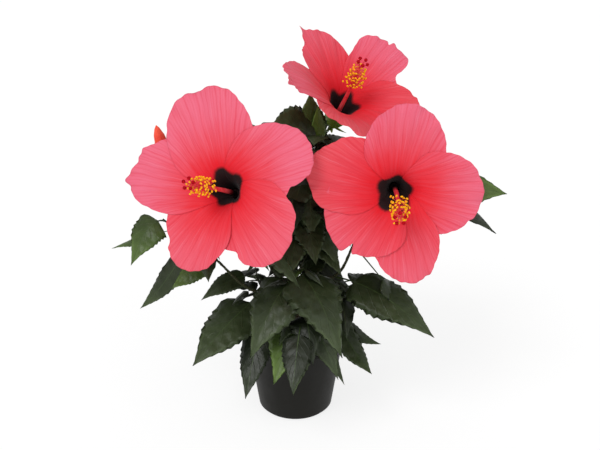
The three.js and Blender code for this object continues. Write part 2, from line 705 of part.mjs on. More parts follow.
/** The rule's leaf: a golden turn round its stem from the last one, reaching out and hanging. */
function ruleLeaf(name, number, count, length, seed) {
  const { lines } = masses[name];
  const line = number % lines.length;
  const share = line === 0 ? 0.12 + (0.86 * number) / count : 0.45 + (0.5 * number) / count;
  const root = lines[line].getPointAt(share);
  const heading = rad(GOLDEN_TURN * number + 360 * chance(seed));
  const size = length * (0.8 + 0.35 * chance(seed + number + 100));
  const fall = 0.2 + 0.55 * chance(seed + number + 200);
  const way = new THREE.Vector3(Math.cos(heading), Math.sin(heading), -fall);
  const tip = root.clone().addScaledVector(way, size);
  const roll = 30 * (chance(seed + number + 300) - 0.5);
  return { root, tip, arch: size * 0.18, width: size * 0.48, petiole: 0.22, roll };
}

SHOOTS.forEach((shoot, k) => growTwigs(shoot, 17 * k));
SHOOTS.forEach(({ name, more, length }, k) => {
  for (let i = 0; i < more; i += 1) {
    placeLeaf(name, ruleLeaf(name, i, more, length, 31 * k), LEAF_ROOM);
  }
});

for (const { name } of SHOOTS) {
  const { stems, leaves } = masses[name];
  add(`foliage_${name}`, [...stems, ...leaves].reduce((whole, part) => whole.add(part)), FINISH.leaf);
}

export default plant;
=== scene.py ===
"""A potted tropical hibiscus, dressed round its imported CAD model.

Three large open blooms and a bud stand above dark pointed leaves, in a plain round pot.
Sizes are in millimetres and become metres where a mesh is made.  +Z is up, the origin is the
centre of the pot's underside, and the blooms face -Y.
"""

import logging
import math
from contextlib import contextmanager
from dataclasses import dataclass, field
from enum import Enum
from typing import Any, Callable, Iterator, Sequence

import bpy
import numpy as np
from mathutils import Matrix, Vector
from mathutils.bvhtree import BVHTree
from mathutils.kdtree import KDTree


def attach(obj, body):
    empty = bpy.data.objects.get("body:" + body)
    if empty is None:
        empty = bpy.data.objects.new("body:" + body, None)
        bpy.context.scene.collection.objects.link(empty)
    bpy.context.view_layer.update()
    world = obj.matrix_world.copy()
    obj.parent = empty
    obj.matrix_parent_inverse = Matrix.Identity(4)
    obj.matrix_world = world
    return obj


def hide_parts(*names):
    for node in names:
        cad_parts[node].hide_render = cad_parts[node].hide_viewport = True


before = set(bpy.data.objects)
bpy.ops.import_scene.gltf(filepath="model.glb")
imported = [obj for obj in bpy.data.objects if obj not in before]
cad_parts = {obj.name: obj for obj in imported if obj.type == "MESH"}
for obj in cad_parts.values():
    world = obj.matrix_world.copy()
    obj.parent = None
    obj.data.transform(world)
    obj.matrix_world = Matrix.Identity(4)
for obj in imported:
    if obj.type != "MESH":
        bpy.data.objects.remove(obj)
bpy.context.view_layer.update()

log = logging.getLogger("hibiscus")

MM = 0.001
UP = np.array([0.0, 0.0, 1.0])
GOLDEN_TURN = 137.5
FIFTH_TURN = 72
SEAT = 0.3
MAP_NAME = "PlantMap"

# Pot and soil
POT_HEIGHT = 90.0
POT_BASE_RADIUS = 39.0
POT_RIM_RADIUS = 52.5
POT_WALL = 1.6
LIP_HEIGHT = 10.0
LIP_STEP = 2.0
FOOT_BEVEL = 2.5
SOIL_TOP = 79.0
SOIL_CROWN = 2.0
DRAIN_RADIUS = 3.5
DRAIN_RING = 24.0
DRAIN_COUNT = 6

# Trunk and boughs
TRUNK_FOOT = SOIL_TOP + SOIL_CROWN + SEAT
TRUNK_TOP = 136.0
TRUNK_PATH = ((1, 2, TRUNK_FOOT), (0, 1, 100), (-1, 0, 118), (0, 1, TRUNK_TOP))
TRUNK_RADII = (9.4, 7.6, 6.5, 6.0, 5.7, 5.2, 4.4)
BOUGH_RADII = (2.6, 1.8, 1.3)
SHOOT_RADII = (1.3, 1.2, 0.9)
TWIG_RADII = (1.3, 0.8)
FINE_TWIG_RADII = (0.8, 0.6, 0.45)
STALK_RADII = (1.35, 1.3, 1.3, 1.3, 1.35, 1.4, 1.75, 1.4, 1.6, 1.9)
WOOD_VOXEL = 0.55
BARK_RELIEF = ((3.0, 0.9), (1.1, 0.45))

# Blooms
PETAL_LENGTH = 104.0
PETAL_HALF_WIDTH = 43.0
PETAL_SHEET = 0.24
THROAT_RADIUS = 4.7
THROAT_LEAN = 17.0
PETAL_LAYERS = 0.4
EYE_LOBES = 3.4
RUFFLE = 1.5
BLADE_START = 0.66
COLUMN_LENGTH = 80.0
COLUMN_END = 0.93
# How far up the column the painted shade of the throat reaches, as a share of its length.
COLUMN_SHADE = 0.34
STAMEN_START = 0.6
STAMEN_SPAN = 0.28
STIGMA_START = 0.9
CUP_DEPTH = 6.0
CUP_RADIUS = 8.0
CUP_RIM = -1.2
CUP_SHARE = 0.25
SEPAL_CLEAR = 3.7
SEPAL_LENGTH = 30.0
SEPAL_NOTCH = 11.0
BUD_LENGTH = 44.0
BUD_RADIUS = 6.5

# Leaves: how they are built, how near a CAD corner they have to end, and the room they keep
LEAF_FOLD = 0.16
LEAF_SHEET = 0.4
RIB_HEIGHT = 0.35
POSED_COLUMNS = (-1.0, -0.74, -0.46, -0.2, 0.0, 0.2, 0.46, 0.74, 1.0)
FINE_COLUMNS = (-1.0, 0.0, 1.0)
TWIG_MATCH = 1.2
LEAF_MATCH = 0.3
LEAF_ROOM = 4.6
LIMB_CLEAR = 2.5
STEM_SPRAYS = 64
TWIG_SPRAYS = 32
SPRAY_LEAVES = 5

# The photograph's view, and the floor
VIEW_TARGET = (4.9, 0.0, 208.0)
VIEW_ELEVATION = 24.5
VIEW_DISTANCE = 1000.0
VIEW_LENS = 60.0
PICTURE_FOCUS = 1000.0
PICTURE_MIDDLE = (300.0, 225.0)
FLOOR_SIZE = 30000.0
FLOOR_DROP = 0.4


# Numbers and curves


def chance(seed: float) -> float:
    """A number from 0 to 1 that depends only on its seed."""
    wave = math.sin(seed * 12.9898) * 43758.5453
    return wave - math.floor(wave)


def smoothstep(low: float, high: float, x: Any) -> Any:
    """The smooth rise from 0 at low to 1 at high."""
    share = np.clip((x - low) / (high - low), 0.0, 1.0)
    return share * share * (3 - 2 * share)


def lerp(a: Any, b: Any, share: Any) -> Any:
    """The value a share of the way from a to b."""
    return a + (b - a) * share


def unit(v: np.ndarray) -> np.ndarray:
    """Vectors brought to length 1."""
    return v / np.linalg.norm(v, axis=-1, keepdims=True)


def ramp(values: Sequence[float], share: Any) -> Any:
    """Straight-line interpolation in a list of evenly spaced values."""
    return np.interp(share, np.linspace(0, 1, len(values)), values)


def compass(heading: float, rise: float = 0.0) -> np.ndarray:
    """A direction from its heading in degrees and its rise for each unit outwards."""
    turn = math.radians(heading)
    return np.array([math.cos(turn), math.sin(turn), rise])


def in_picture(points: np.ndarray) -> np.ndarray:
    """Where points fall in the photograph's view, in a picture 600 wide and 450 high.

    Args:
        points: the points in millimetres, one to a row.

    Returns:
        Their places across and down the picture.
    """
    tilt = math.radians(VIEW_ELEVATION)
    x, y, z = (points - np.array(VIEW_TARGET)).T
    over = y * math.sin(tilt) + z * math.cos(tilt)
    away = VIEW_DISTANCE + y * math.cos(tilt) - z * math.sin(tilt)
    across, down = PICTURE_MIDDLE
    return np.stack([across + PICTURE_FOCUS * x / away, down - PICTURE_FOCUS * over / away], axis=1)


class Curve:
    """A centripetal Catmull-Rom curve through points, walked by its length."""

    def __init__(self, points: Sequence[Sequence[float]]) -> None:
        """Measures the curve.

        Args:
            points: the points it passes through, in millimetres.
        """
        self.points = np.array(points, float)
        self.shares = np.linspace(0, 1, 201)
        places = np.array([self.point(share) for share in self.shares])
        steps = np.linalg.norm(np.diff(places, axis=0), axis=1)
        self.lengths = np.concatenate([[0.0], np.cumsum(steps)])

    def point(self, share: float) -> np.ndarray:
        """The point at a share of the curve's own parameter.

        Args:
            share: from 0 at the first point to 1 at the last.

        Returns:
            The point.
        """
        points = self.points
        last = len(points) - 1
        place = min(max(share, 0.0), 1.0) * last
        i = min(int(place), last - 1)
        t = place - i
        before = points[i - 1] if i > 0 else 2 * points[0] - points[1]
        after = points[i + 2] if i + 2 <= last else 2 * points[last] - points[last - 1]
        spots = [before, points[i], points[i + 1], after]
        gaps = [np.linalg.norm(spots[k + 1] - spots[k]) ** 0.5 for k in range(3)]
        a = (spots[1] - spots[0]) / gaps[0] - (spots[2] - spots[0]) / (gaps[0] + gaps[1])
        b = (spots[2] - spots[1]) / gaps[1] - (spots[3] - spots[1]) / (gaps[1] + gaps[2])
        middle = (spots[2] - spots[1]) / gaps[1]
        start = (a + middle) * gaps[1]
        end = (b + (spots[3] - spots[2]) / gaps[2]) * gaps[1]
        rise = spots[2] - spots[1]
        return (
            spots[1]
            + start * t
            + (3 * rise - 2 * start - end) * t**2
            + (start + end - 2 * rise) * t**3
        )

    def parameter(self, share: float) -> float:
        """The curve's own parameter at a share of its length."""
        return float(np.interp(share * self.lengths[-1], self.lengths, self.shares))

    def at(self, share: float) -> np.ndarray:
        """The point at a share of the curve's length."""
        return self.point(self.parameter(share))

    def tangent(self, share: float) -> np.ndarray:
        """The direction at a share of the curve's length.

        Args:
            share: from 0 at the first point to 1 at the last.

        Returns:
            The direction, of length 1.
        """
        place = self.parameter(share)
        step = 1e-4
        return unit(self.point(min(place + step, 1.0)) - self.point(max(place - step, 0.0)))

    def many(self, count: int) -> np.ndarray:
        """Points evenly spaced along the curve, both ends included."""
        return np.array([self.at(share) for share in np.linspace(0, 1, count)])


def frames_along(path: np.ndarray) -> tuple[np.ndarray, np.ndarray]:
    """Two directions square to a path at each of its points, carried along without twist.

    Args:
        path: the points, one to a row.

    Returns:
        The side directions and the up directions.
    """
    ahead = unit(np.gradient(path, axis=0))
    start = np.cross(ahead[0], UP)
    if np.linalg.norm(start) < 0.2:
        start = np.cross(ahead[0], [1.0, 0.0, 0.0])
    sides = [unit(start)]
    for way in ahead[1:]:
        side = sides[-1] - way * np.dot(way, sides[-1])
        sides.append(unit(side))
    across = np.array(sides)
    return across, np.cross(ahead, across)


# Meshes


@dataclass
class Soup:
    """Many small shapes gathered in arrays, to be joined in one mesh."""

    points: list[np.ndarray] = field(default_factory=list)
    faces: list[np.ndarray] = field(default_factory=list)
    slots: list[np.ndarray] = field(default_factory=list)
    maps: list[np.ndarray] = field(default_factory=list)
    count: int = 0

    def add(
        self,
        points: np.ndarray,
        faces: np.ndarray,
        slot: int | np.ndarray = 0,
        uv: np.ndarray | None = None,
    ) -> None:
        """Adds one shape.

        Args:
            points: its vertices in millimetres.
            faces: rows of four vertex numbers, the last two equal on a triangle.
            slot: the material slot of all its faces, or of each.
            uv: a place on the piece's own map for each vertex.
        """
        self.points.append(points)
        self.faces.append(faces + self.count)
        self.slots.append(np.broadcast_to(slot, len(faces)))
        self.maps.append(np.zeros((len(points), 2)) if uv is None else uv)
        self.count += len(points)

    def mesh(self, name: str) -> bpy.types.Object:
        """Makes the piece, in metres, with shared corners joined.

        Args:
            name: the piece's name.

        Returns:
            The piece.
        """
        points = np.concatenate(self.points) * MM
        faces = np.concatenate(self.faces)
        rows = [row[:3] if row[2] == row[3] else row for row in faces.tolist()]
        data = bpy.data.meshes.new(name)
        data.from_pydata(points.tolist(), [], rows)
        data.polygons.foreach_set("material_index", np.concatenate(self.slots).astype(np.int32))
        write_map(data, np.concatenate(self.maps))
        piece = bpy.data.objects.new(name, data)
        bpy.context.scene.collection.objects.link(piece)
        take(piece)
        with editing():
            bpy.ops.mesh.remove_doubles(threshold=4e-6)
            bpy.ops.mesh.dissolve_degenerate(threshold=1e-6)
        bpy.ops.object.shade_smooth()
        return piece


def grid_faces(rows: int, columns: int, wrapped: bool = False) -> np.ndarray:
    """Faces of a sheet whose vertices are numbered row by row.

    Args:
        rows: rows of vertices.
        columns: vertices in a row.
        wrapped: whether the last column joins the first, as round a tube.

    Returns:
        Rows of four vertex numbers.
    """
    across = columns if wrapped else columns - 1
    j, i = np.meshgrid(np.arange(rows - 1), np.arange(across), indexing="ij")
    nxt = (i + 1) % columns
    corners = [j * columns + i, j * columns + nxt, (j + 1) * columns + nxt, (j + 1) * columns + i]
    return np.stack([corner.ravel() for corner in corners], axis=1)


def tube(path: np.ndarray, radii: Any, sides: int) -> tuple[np.ndarray, np.ndarray]:
    """A closed round tube along a path.

    Args:
        path: the points of its middle line.
        radii: its radius at each point, or one for all.
        sides: how many sides it has.

    Returns:
        Its vertices and faces.
    """
    across, over = frames_along(path)
    turns = np.linspace(0, 2 * math.pi, sides, endpoint=False)
    radius = np.broadcast_to(radii, len(path))[:, None, None]
    spokes = (
        np.cos(turns)[None, :, None] * across[:, None, :]
        + np.sin(turns)[None, :, None] * over[:, None, :]
    )
    rings = path[:, None, :] + radius * spokes
    points = np.concatenate([rings.reshape(-1, 3), path[:1], path[-1:]])
    faces = grid_faces(len(path), sides, wrapped=True)
    ends = len(path) * sides
    here = np.arange(sides)
    after = (here + 1) % sides
    last = (len(path) - 1) * sides
    foot = np.stack([np.full(sides, ends), after, here, here], axis=1)
    head = np.stack([np.full(sides, ends + 1), last + here, last + after, last + after], axis=1)
    return points, np.concatenate([faces, foot, head])


def knob(
    centre: np.ndarray, radii: Sequence[float], turn: float, tilt: float
) -> tuple[np.ndarray, np.ndarray]:
    """A small rounded lump of a few dozen faces.

    Args:
        centre: its middle.
        radii: its half sizes along three axes.
        turn: its turn about the vertical, in radians.
        tilt: its lean, in radians.

    Returns:
        Its vertices and faces.
    """
    rows, columns = 5, 7
    heights = np.linspace(0, math.pi, rows)
    turns = np.linspace(0, 2 * math.pi, columns, endpoint=False)
    ring = np.sin(heights)[:, None]
    x = ring * np.cos(turns) * radii[0]
    y = ring * np.sin(turns) * radii[1]
    z = np.cos(heights)[:, None] * np.ones(columns) * radii[2]
    x, z = x * math.cos(tilt) + z * math.sin(tilt), z * math.cos(tilt) - x * math.sin(tilt)
    x, y = x * math.cos(turn) - y * math.sin(turn), x * math.sin(turn) + y * math.cos(turn)
    points = np.stack([x, y, z], axis=-1).reshape(-1, 3) + centre
    return points, grid_faces(rows, columns, wrapped=True)[:, ::-1]


@contextmanager
def editing(action: str | None = "SELECT") -> Iterator[None]:
    """Edit mode on the active piece.

    Args:
        action: what is done to the selection first, or None to keep it.
    """
    bpy.ops.object.mode_set(mode="EDIT")
    if action:
        bpy.ops.mesh.select_all(action=action)
    yield
    bpy.ops.object.mode_set(mode="OBJECT")


def pick(piece: bpy.types.Object, kind: str, wanted: Callable[[Any], bool]) -> None:
    """Selects some faces or edges of the active piece and nothing else.

    Args:
        piece: the piece.
        kind: polygons or edges.
        wanted: whether a face or edge is one of them.
    """
    with editing("DESELECT"):
        pass
    for element in getattr(piece.data, kind):
        element.select = wanted(element)


def take(piece: bpy.types.Object) -> None:
    """Makes a piece the only one that is selected and active.

    Args:
        piece: the piece.
    """
    if bpy.context.object and bpy.context.object.mode != "OBJECT":
        bpy.ops.object.mode_set(mode="OBJECT")
    bpy.ops.object.select_all(action="DESELECT")
    piece.select_set(True)
    bpy.context.view_layer.objects.active = piece


def fresh(name: str) -> bpy.types.Object:
    """Names the primitive that was just added and puts its place into its mesh.

    Args:
        name: the name of the piece.

    Returns:
        The piece.
    """
    piece = bpy.context.object
    take(piece)
    piece.name = piece.data.name = name
    bpy.ops.object.transform_apply(location=True, rotation=True, scale=True)
    return piece


def apply_modifier(piece: bpy.types.Object, kind: str, **settings: Any) -> None:
    """Adds a modifier to a piece and applies it.

    Args:
        piece: the piece.
        kind: the modifier's type.
        settings: its settings by name.
    """
    take(piece)
    modifier = piece.modifiers.new(kind.title(), kind)
    for key, value in settings.items():
        setattr(modifier, key, value)
    bpy.ops.object.modifier_apply(modifier=modifier.name)


def corners_of(piece: bpy.types.Object) -> np.ndarray:
    """Reads a piece's vertices.

    Args:
        piece: the piece.

    Returns:
        The vertices in its own units, one to a row.
    """
    flat = np.zeros(len(piece.data.vertices) * 3, np.float32)
    piece.data.vertices.foreach_get("co", flat)
    return flat.reshape(-1, 3).astype(float)


def move_corners(piece: bpy.types.Object, points: np.ndarray) -> None:
    """Gives a piece's vertices new places, in metres."""
    piece.data.vertices.foreach_set("co", points.astype(np.float32).ravel())
    piece.data.update()


def write_map(data: bpy.types.Mesh, uv: np.ndarray) -> None:
    """Writes a mesh's own map.

    Args:
        data: the mesh.
        uv: a place on the map for each vertex.
    """
    layer = data.uv_layers.active or data.uv_layers.new()
    layer.name = MAP_NAME
    corners = np.zeros(len(data.loops), np.int32)
    data.loops.foreach_get("vertex_index", corners)
    layer.data.foreach_set("uv", uv[corners].astype(np.float32).ravel())


def join_seams(piece: bpy.types.Object, outward: bool = False) -> None:
    """Joins corners that lie together.

    Args:
        piece: the piece.
        outward: whether its faces are turned outwards too.
    """
    take(piece)
    with editing():
        bpy.ops.mesh.remove_doubles(threshold=1e-6)
        bpy.ops.mesh.dissolve_degenerate(threshold=1e-7)
        if outward:
            bpy.ops.mesh.select_all(action="SELECT")
            bpy.ops.mesh.normals_make_consistent(inside=False)


def formed_sheet(
    name: str,
    columns: int,
    rows: int,
    place: Callable[[np.ndarray, np.ndarray], np.ndarray],
    chart: Callable[[np.ndarray, np.ndarray], np.ndarray] | None = None,
) -> bpy.types.Object:
    """A grid primitive whose corners are moved to where a surface has them.

    Args:
        name: the piece's name.
        columns: faces from edge to edge.
        rows: faces from root to tip.
        place: gives the points in millimetres for t (-1 to 1) and s (0 to 1).
        chart: gives each corner's place on the piece's own map from t and s.

    Returns:
        The sheet, facing the side on which t runs clockwise.
    """
    bpy.ops.mesh.primitive_grid_add(x_subdivisions=columns, y_subdivisions=rows, size=2)
    piece = fresh(name)
    flat = corners_of(piece)
    t = -flat[:, 0]
    s = (flat[:, 1] + 1) / 2
    write_map(piece.data, chart(t, s) if chart else np.stack([(t + 1) / 2, s], axis=1))
    move_corners(piece, place(t, s) * MM)
    return piece


def smooth_shaded(piece: bpy.types.Object, angle: float | None = None) -> None:
    """Shades a piece smooth.

    Args:
        piece: the piece.
        angle: where given, edges above this angle in degrees stay sharp.
    """
    take(piece)
    if angle is None:
        bpy.ops.object.shade_smooth()
    else:
        bpy.ops.object.shade_smooth_by_angle(angle=math.radians(angle))


def dress(
    piece: bpy.types.Object,
    finishes: Sequence[bpy.types.Material],
    nodes: Sequence[str],
) -> None:
    """Gives a finished piece its materials and its place on the part.

    Args:
        piece: the piece, with its place in its mesh.
        finishes: its materials in slot order.
        nodes: the CAD nodes that it stands for.
    """
    kept = np.zeros(len(piece.data.polygons), np.int32)
    piece.data.polygons.foreach_get("material_index", kept)
    piece.data.materials.clear()
    for finish in finishes:
        piece.data.materials.append(finish)
    piece.data.polygons.foreach_set("material_index", kept)
    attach(piece, "root")
    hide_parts(*nodes)
    log.info("%s: %d faces", piece.name, len(piece.data.polygons))


# Materials


def paint(red: float, green: float, blue: float) -> tuple[float, float, float, float]:
    """A colour from its screen values, as the renderer counts light.

    Args:
        red: from 0 to 255.
        green: from 0 to 255.
        blue: from 0 to 255.

    Returns:
        The colour and its alpha.
    """
    values = (red, green, blue)
    lit = [((v / 255 + 0.055) / 1.055) ** 2.4 if v > 10 else v / 255 / 12.92 for v in values]
    return (lit[0], lit[1], lit[2], 1.0)


class Signal:
    """A value that runs through a material's nodes, with Python's own arithmetic."""

    def __init__(self, desk: "Desk", socket: bpy.types.NodeSocket) -> None:
        """Takes up a node's output.

        Args:
            desk: the material's nodes.
            socket: the output that carries the value.
        """
        self.desk = desk
        self.socket = socket

    def _math(self, operation: str, *values: Any) -> "Signal":
        """A Math node on the values given."""
        return self.desk.node("ShaderNodeMath", {"operation": operation}, dict(enumerate(values)))

    def __add__(self, other: Any) -> "Signal":
        """Sum."""
        return self._math("ADD", self, other)

    def __sub__(self, other: Any) -> "Signal":
        """Difference."""
        return self._math("SUBTRACT", self, other)

    def __rsub__(self, other: Any) -> "Signal":
        """Reflected difference."""
        return self._math("SUBTRACT", other, self)

    def __mul__(self, other: Any) -> "Signal":
        """Product."""
        return self._math("MULTIPLY", self, other)

    __radd__ = __add__
    __rmul__ = __mul__

    def __abs__(self) -> "Signal":
        """Size without sign."""
        return self._math("ABSOLUTE", self)

    def part(self) -> "Signal":
        """What follows the decimal point."""
        return self._math("FRACT", self)

    def sine(self) -> "Signal":
        """Sine."""
        return self._math("SINE", self)

    def rise(self, low: float, high: float, top: float = 1.0) -> "Signal":
        """A smooth rise from 0 at low to top at high."""
        values = {"Value": self, "From Min": low, "From Max": high, "To Min": 0.0, "To Max": top}
        return self.desk.node("ShaderNodeMapRange", {"interpolation_type": "SMOOTHSTEP"}, values)


class Desk:
    """One material and the nodes on it."""

    def __init__(self, name: str) -> None:
        """Starts an empty material.

        Args:
            name: the material's name.
        """
        self.material = bpy.data.materials.new(name)
        self.material.use_nodes = True
        self.tree = self.material.node_tree
        self.tree.nodes.clear()

    def node(
        self,
        kind: str,
        settings: dict[str, Any] | None = None,
        values: dict[Any, Any] | None = None,
        output: int | str = 0,
    ) -> Signal:
        """Adds a node.

        Args:
            kind: the node's type.
            settings: its settings by name.
            values: what its sockets hold or what is linked to them.
            output: which output is wanted.

        Returns:
            That output.
        """
        node = self.tree.nodes.new(kind)
        for key, value in (settings or {}).items():
            setattr(node, key, value)
        for key, value in (values or {}).items():
            if isinstance(value, Signal):
                self.tree.links.new(value.socket, node.inputs[key])
            else:
                node.inputs[key].default_value = value
        return Signal(self, node.outputs[output]) if node.outputs else None

    def place(self) -> Signal:
        """Object coordinates."""
        return self.node("ShaderNodeTexCoord", output="Object")

    def parts(self, where: Signal) -> list[Signal]:
        """The three values of a vector."""
        split = self.node("ShaderNodeSeparateXYZ", None, {0: where})
        return [Signal(self, output) for output in split.socket.node.outputs]

    def chart(self) -> list[Signal]:
        """The two values of the piece's own map."""
        return self.parts(self.node("ShaderNodeUVMap", {"uv_map": MAP_NAME}))[:2]

    def vector(self, x: Any, y: Any) -> Signal:
        """A vector of two values and 0."""
        return self.node("ShaderNodeCombineXYZ", None, {0: x, 1: y})

    def noise(self, where: Signal, scale: float, detail: float = 2.0, rough: float = 0.5) -> Signal:
        """Soft noise from 0 to 1 at a place."""
        values = {"Vector": where, "Scale": scale, "Detail": detail, "Roughness": rough}
        return self.node("ShaderNodeTexNoise", None, values)

    def blend(self, share: Any, a: Any, b: Any) -> Signal:
        """Two colours mixed."""
        return self.node("ShaderNodeMix", {"data_type": "RGBA"}, {0: share, 6: a, 7: b}, output=2)

    def bump(self, height: Signal, depth: float, strength: float = 1.0) -> Signal:
        """A normal from a height of 0 to 1, with its depth in millimetres."""
        values = {"Height": height, "Distance": depth * MM, "Strength": strength}
        return self.node("ShaderNodeBump", None, values)

    def finish(self, **values: Any) -> bpy.types.Material:
        """Ends in a Principled shader.

        Args:
            values: what its sockets take, with the spaces in their names written as underscores.

        Returns:
            The material.
        """
        sockets = {key.replace("_", " "): value for key, value in values.items()}
        shader = self.node("ShaderNodeBsdfPrincipled", None, sockets)
        self.node("ShaderNodeOutputMaterial", None, {"Surface": shader})
        return self.material


class Hue(Enum):
    """How far a petal's colour leans from violet pink to orange red."""

    COOL = 0.0
    PLAIN = 0.45
    WARM = 1.0


@dataclass(frozen=True)
class PetalFinish:
    """A coral petal: near-black eye, red heart that runs out in streaks, pink rim and fine veins.

    Its back is paler, with a sallow claw in place of the eye.
    """

    hue: Hue
    outer: bool = False
    eye: tuple[float, ...] = paint(30, 12, 14)
    heart: tuple[float, ...] = paint(214, 20, 34)
    middle: tuple[float, ...] = paint(217, 60, 74)
    rim_cool: tuple[float, ...] = paint(220, 100, 124)
    rim_warm: tuple[float, ...] = paint(219, 82, 92)
    vein: tuple[float, ...] = paint(206, 30, 50)
    pale: tuple[float, ...] = paint(226, 122, 138)
    claw: tuple[float, ...] = paint(206, 140, 112)

    def material(self) -> bpy.types.Material:
        """Lays out the finish's nodes.

        Returns:
            The material.
        """
        desk = Desk(f"petal {self.hue.name.lower()}{' back' if self.outer else ''}")
        across, along = desk.chart()
        place = desk.place()
        wander = desk.noise(desk.vector(across * 7.0, along * 3.5), 1.0, 2.0) - 0.5
        line = across + wander * 0.035

        def vein(count: float, width: float) -> Signal:
            """Fine lines that fan out from the petal's root."""
            return abs((line * count).part() - 0.5).rise(0.5 - width, 0.5)

        veins = (
            vein(15.0, 0.16) * along.rise(0.12, 0.3)
            + vein(30.0, 0.2) * along.rise(0.3, 0.55, 0.8)
            + vein(60.0, 0.26) * along.rise(0.5, 0.85, 0.6)
        ) * (1.0 - 0.35 * desk.noise(place, 60.0, 1.0))
        streaks = desk.noise(desk.vector(line * 34.0, along * 1.5), 1.0, 3.0, 0.6)
        patches = desk.noise(place, 26.0, 2.0)
        zone = along + (streaks - 0.5) * -0.34 * along.rise(0.18, 0.4) + (patches - 0.5) * 0.22
        rim = desk.blend(self.hue.value, self.rim_cool, self.rim_warm)
        rim = desk.blend((patches * 1.6 - 0.5).rise(0.1, 0.9, 0.35), rim, self.rim_warm)
        warmth = 0.1 * self.hue.value
        inner = desk.blend(zone.rise(0.28, 0.6 + warmth), self.heart, self.middle)
        colour = desk.blend(zone.rise(0.44 + warmth, 0.9 + 1.5 * warmth), inner, rim)
        threads = desk.noise(desk.vector(line * 80.0, along * 2.2), 1.0, 2.0, 0.6)
        colour = desk.blend(threads.rise(0.54, 0.76, 0.36) * along.rise(0.35, 0.7), colour, self.pale)
        colour = desk.blend((1.0 - threads.rise(0.3, 0.52)) * 0.3, colour, self.vein)
        colour = desk.blend(veins * (0.3 if self.outer else 0.15), colour, self.vein)
        ragged = along + (streaks - 0.5) * 0.03
        if self.outer:
            colour = desk.blend(0.3, colour, self.pale)
            colour = desk.blend(1.0 - ragged.rise(0.1, 0.28), colour, self.claw)
        else:
            colour = desk.blend(1.0 - ragged.rise(0.25, 0.31), colour, self.eye)
        grain = desk.noise(desk.vector(line * 120.0, along * 30.0), 1.0, 2.0)
        height = 1.0 - veins * 0.5 + threads * 0.8 + grain * 0.3
        return desk.finish(
            Base_Color=colour,
            Roughness=0.66 - 0.12 * grain,
            Specular_IOR_Level=0.16,
            Sheen_Weight=0.06,
            Sheen_Roughness=0.45,
            Normal=desk.bump(height, 0.16),
        )


class Tint(Enum):
    """Leaf colours, each a plain one dealt out by spray."""

    DEEP = (22, 28, 15)
    DARK = (34, 43, 22)
    GREEN = (48, 64, 24)
    OLIVE = (64, 86, 30)
    # Yellow-green of a young leaf, darkened with painted shade where it lies under the leaves above.
    FRESH = (56, 74, 28)


@dataclass(frozen=True)
class LeafFinish:
    """A glossy leaf with side veins that fall in and a faint mottle."""

    tint: Tint

    def material(self) -> bpy.types.Material:
        """Lays out the finish's nodes.

        Returns:
            The material.
        """
        desk = Desk(f"leaf {self.tint.name.lower()}")
        across, along = desk.chart()
        place = desk.place()
        mottle = desk.noise(place, 120.0, 3.0)
        broad = desk.noise(place, 22.0, 1.0)
        base = paint(*self.tint.value)
        light = paint(*(min(255.0, 1.3 * v + 8) for v in self.tint.value))
        margin = paint(*(min(255.0, 1.5 * v + 22) for v in self.tint.value))
        colour = desk.blend((mottle * 0.6 + broad * 0.6).rise(0.35, 0.95), base, light)
        colour = desk.blend(along.rise(0.45, 1.0, 0.45), colour, margin)
        edge = (abs(across - 0.5) + along.rise(0.5, 1.0, 0.22) + mottle * 0.1).rise(0.44, 0.62, 0.6)
        colour = desk.blend(edge, colour, margin)
        slant = (along * 6.0 - abs(across - 0.5) * 4.4).part()
        veins = abs(slant - 0.5).rise(0.4, 0.5)
        swells = desk.noise(place, 75.0, 1.0)
        net = desk.noise(place, 420.0, 2.0)
        height = 1.0 - veins * 0.07 + net * 0.05 + swells
        return desk.finish(
            Base_Color=colour,
            Roughness=0.28 + 0.26 * mottle,
            Specular_IOR_Level=0.3,
            Normal=desk.bump(height, 3.0, 0.7),
        )


@dataclass(frozen=True)
class MottledFinish:
    """A plain natural surface with a mottle in its colour, its gloss and its grain."""

    name: str
    base: tuple[int, int, int]
    accent: tuple[int, int, int]
    scale: float
    roughness: float
    depth: float
    shine: float = 0.3

    def material(self) -> bpy.types.Material:
        """Lays out the finish's nodes.

        Returns:
            The material.
        """
        desk = Desk(self.name)
        place = desk.place()
        mottle = desk.noise(place, self.scale, 4.0, 0.6)
        grain = desk.noise(place, self.scale * 6.0, 2.0)
        return desk.finish(
            Base_Color=desk.blend(mottle.rise(0.32, 0.68), paint(*self.base), paint(*self.accent)),
            Roughness=self.roughness - 0.15 + 0.3 * mottle,
            Specular_IOR_Level=self.shine,
            Normal=desk.bump(mottle * 0.6 + grain * 0.4, self.depth),
        )


MOTTLED = (
    MottledFinish("fresh green", (138, 166, 58), (100, 136, 46), 120.0, 0.5, 0.15),
    MottledFinish("green wood", (52, 54, 32), (38, 42, 24), 150.0, 0.6, 0.2),
    MottledFinish("petiole", (56, 74, 32), (40, 54, 26), 150.0, 0.5, 0.1),
    MottledFinish("midrib", (64, 82, 44), (48, 64, 32), 150.0, 0.5, 0.1),
    MottledFinish("stalk green", (78, 92, 44), (56, 70, 34), 120.0, 0.5, 0.15),
    MottledFinish("soil", (58, 42, 30), (28, 20, 15), 260.0, 0.9, 1.2, 0.15),
    MottledFinish("grit", (214, 208, 196), (172, 164, 150), 400.0, 0.9, 0.3, 0.15),
    MottledFinish("throat", (30, 12, 14), (20, 8, 10), 200.0, 0.7, 0.1, 0.1),
    MottledFinish("anthers", (250, 190, 6), (240, 150, 8), 500.0, 0.8, 0.2),
    MottledFinish("stigma velvet", (196, 8, 30), (150, 4, 20), 600.0, 0.85, 0.3, 0.1),
    MottledFinish("rolled petals", (240, 92, 68), (234, 66, 56), 60.0, 0.6, 0.1, 0.15),
)


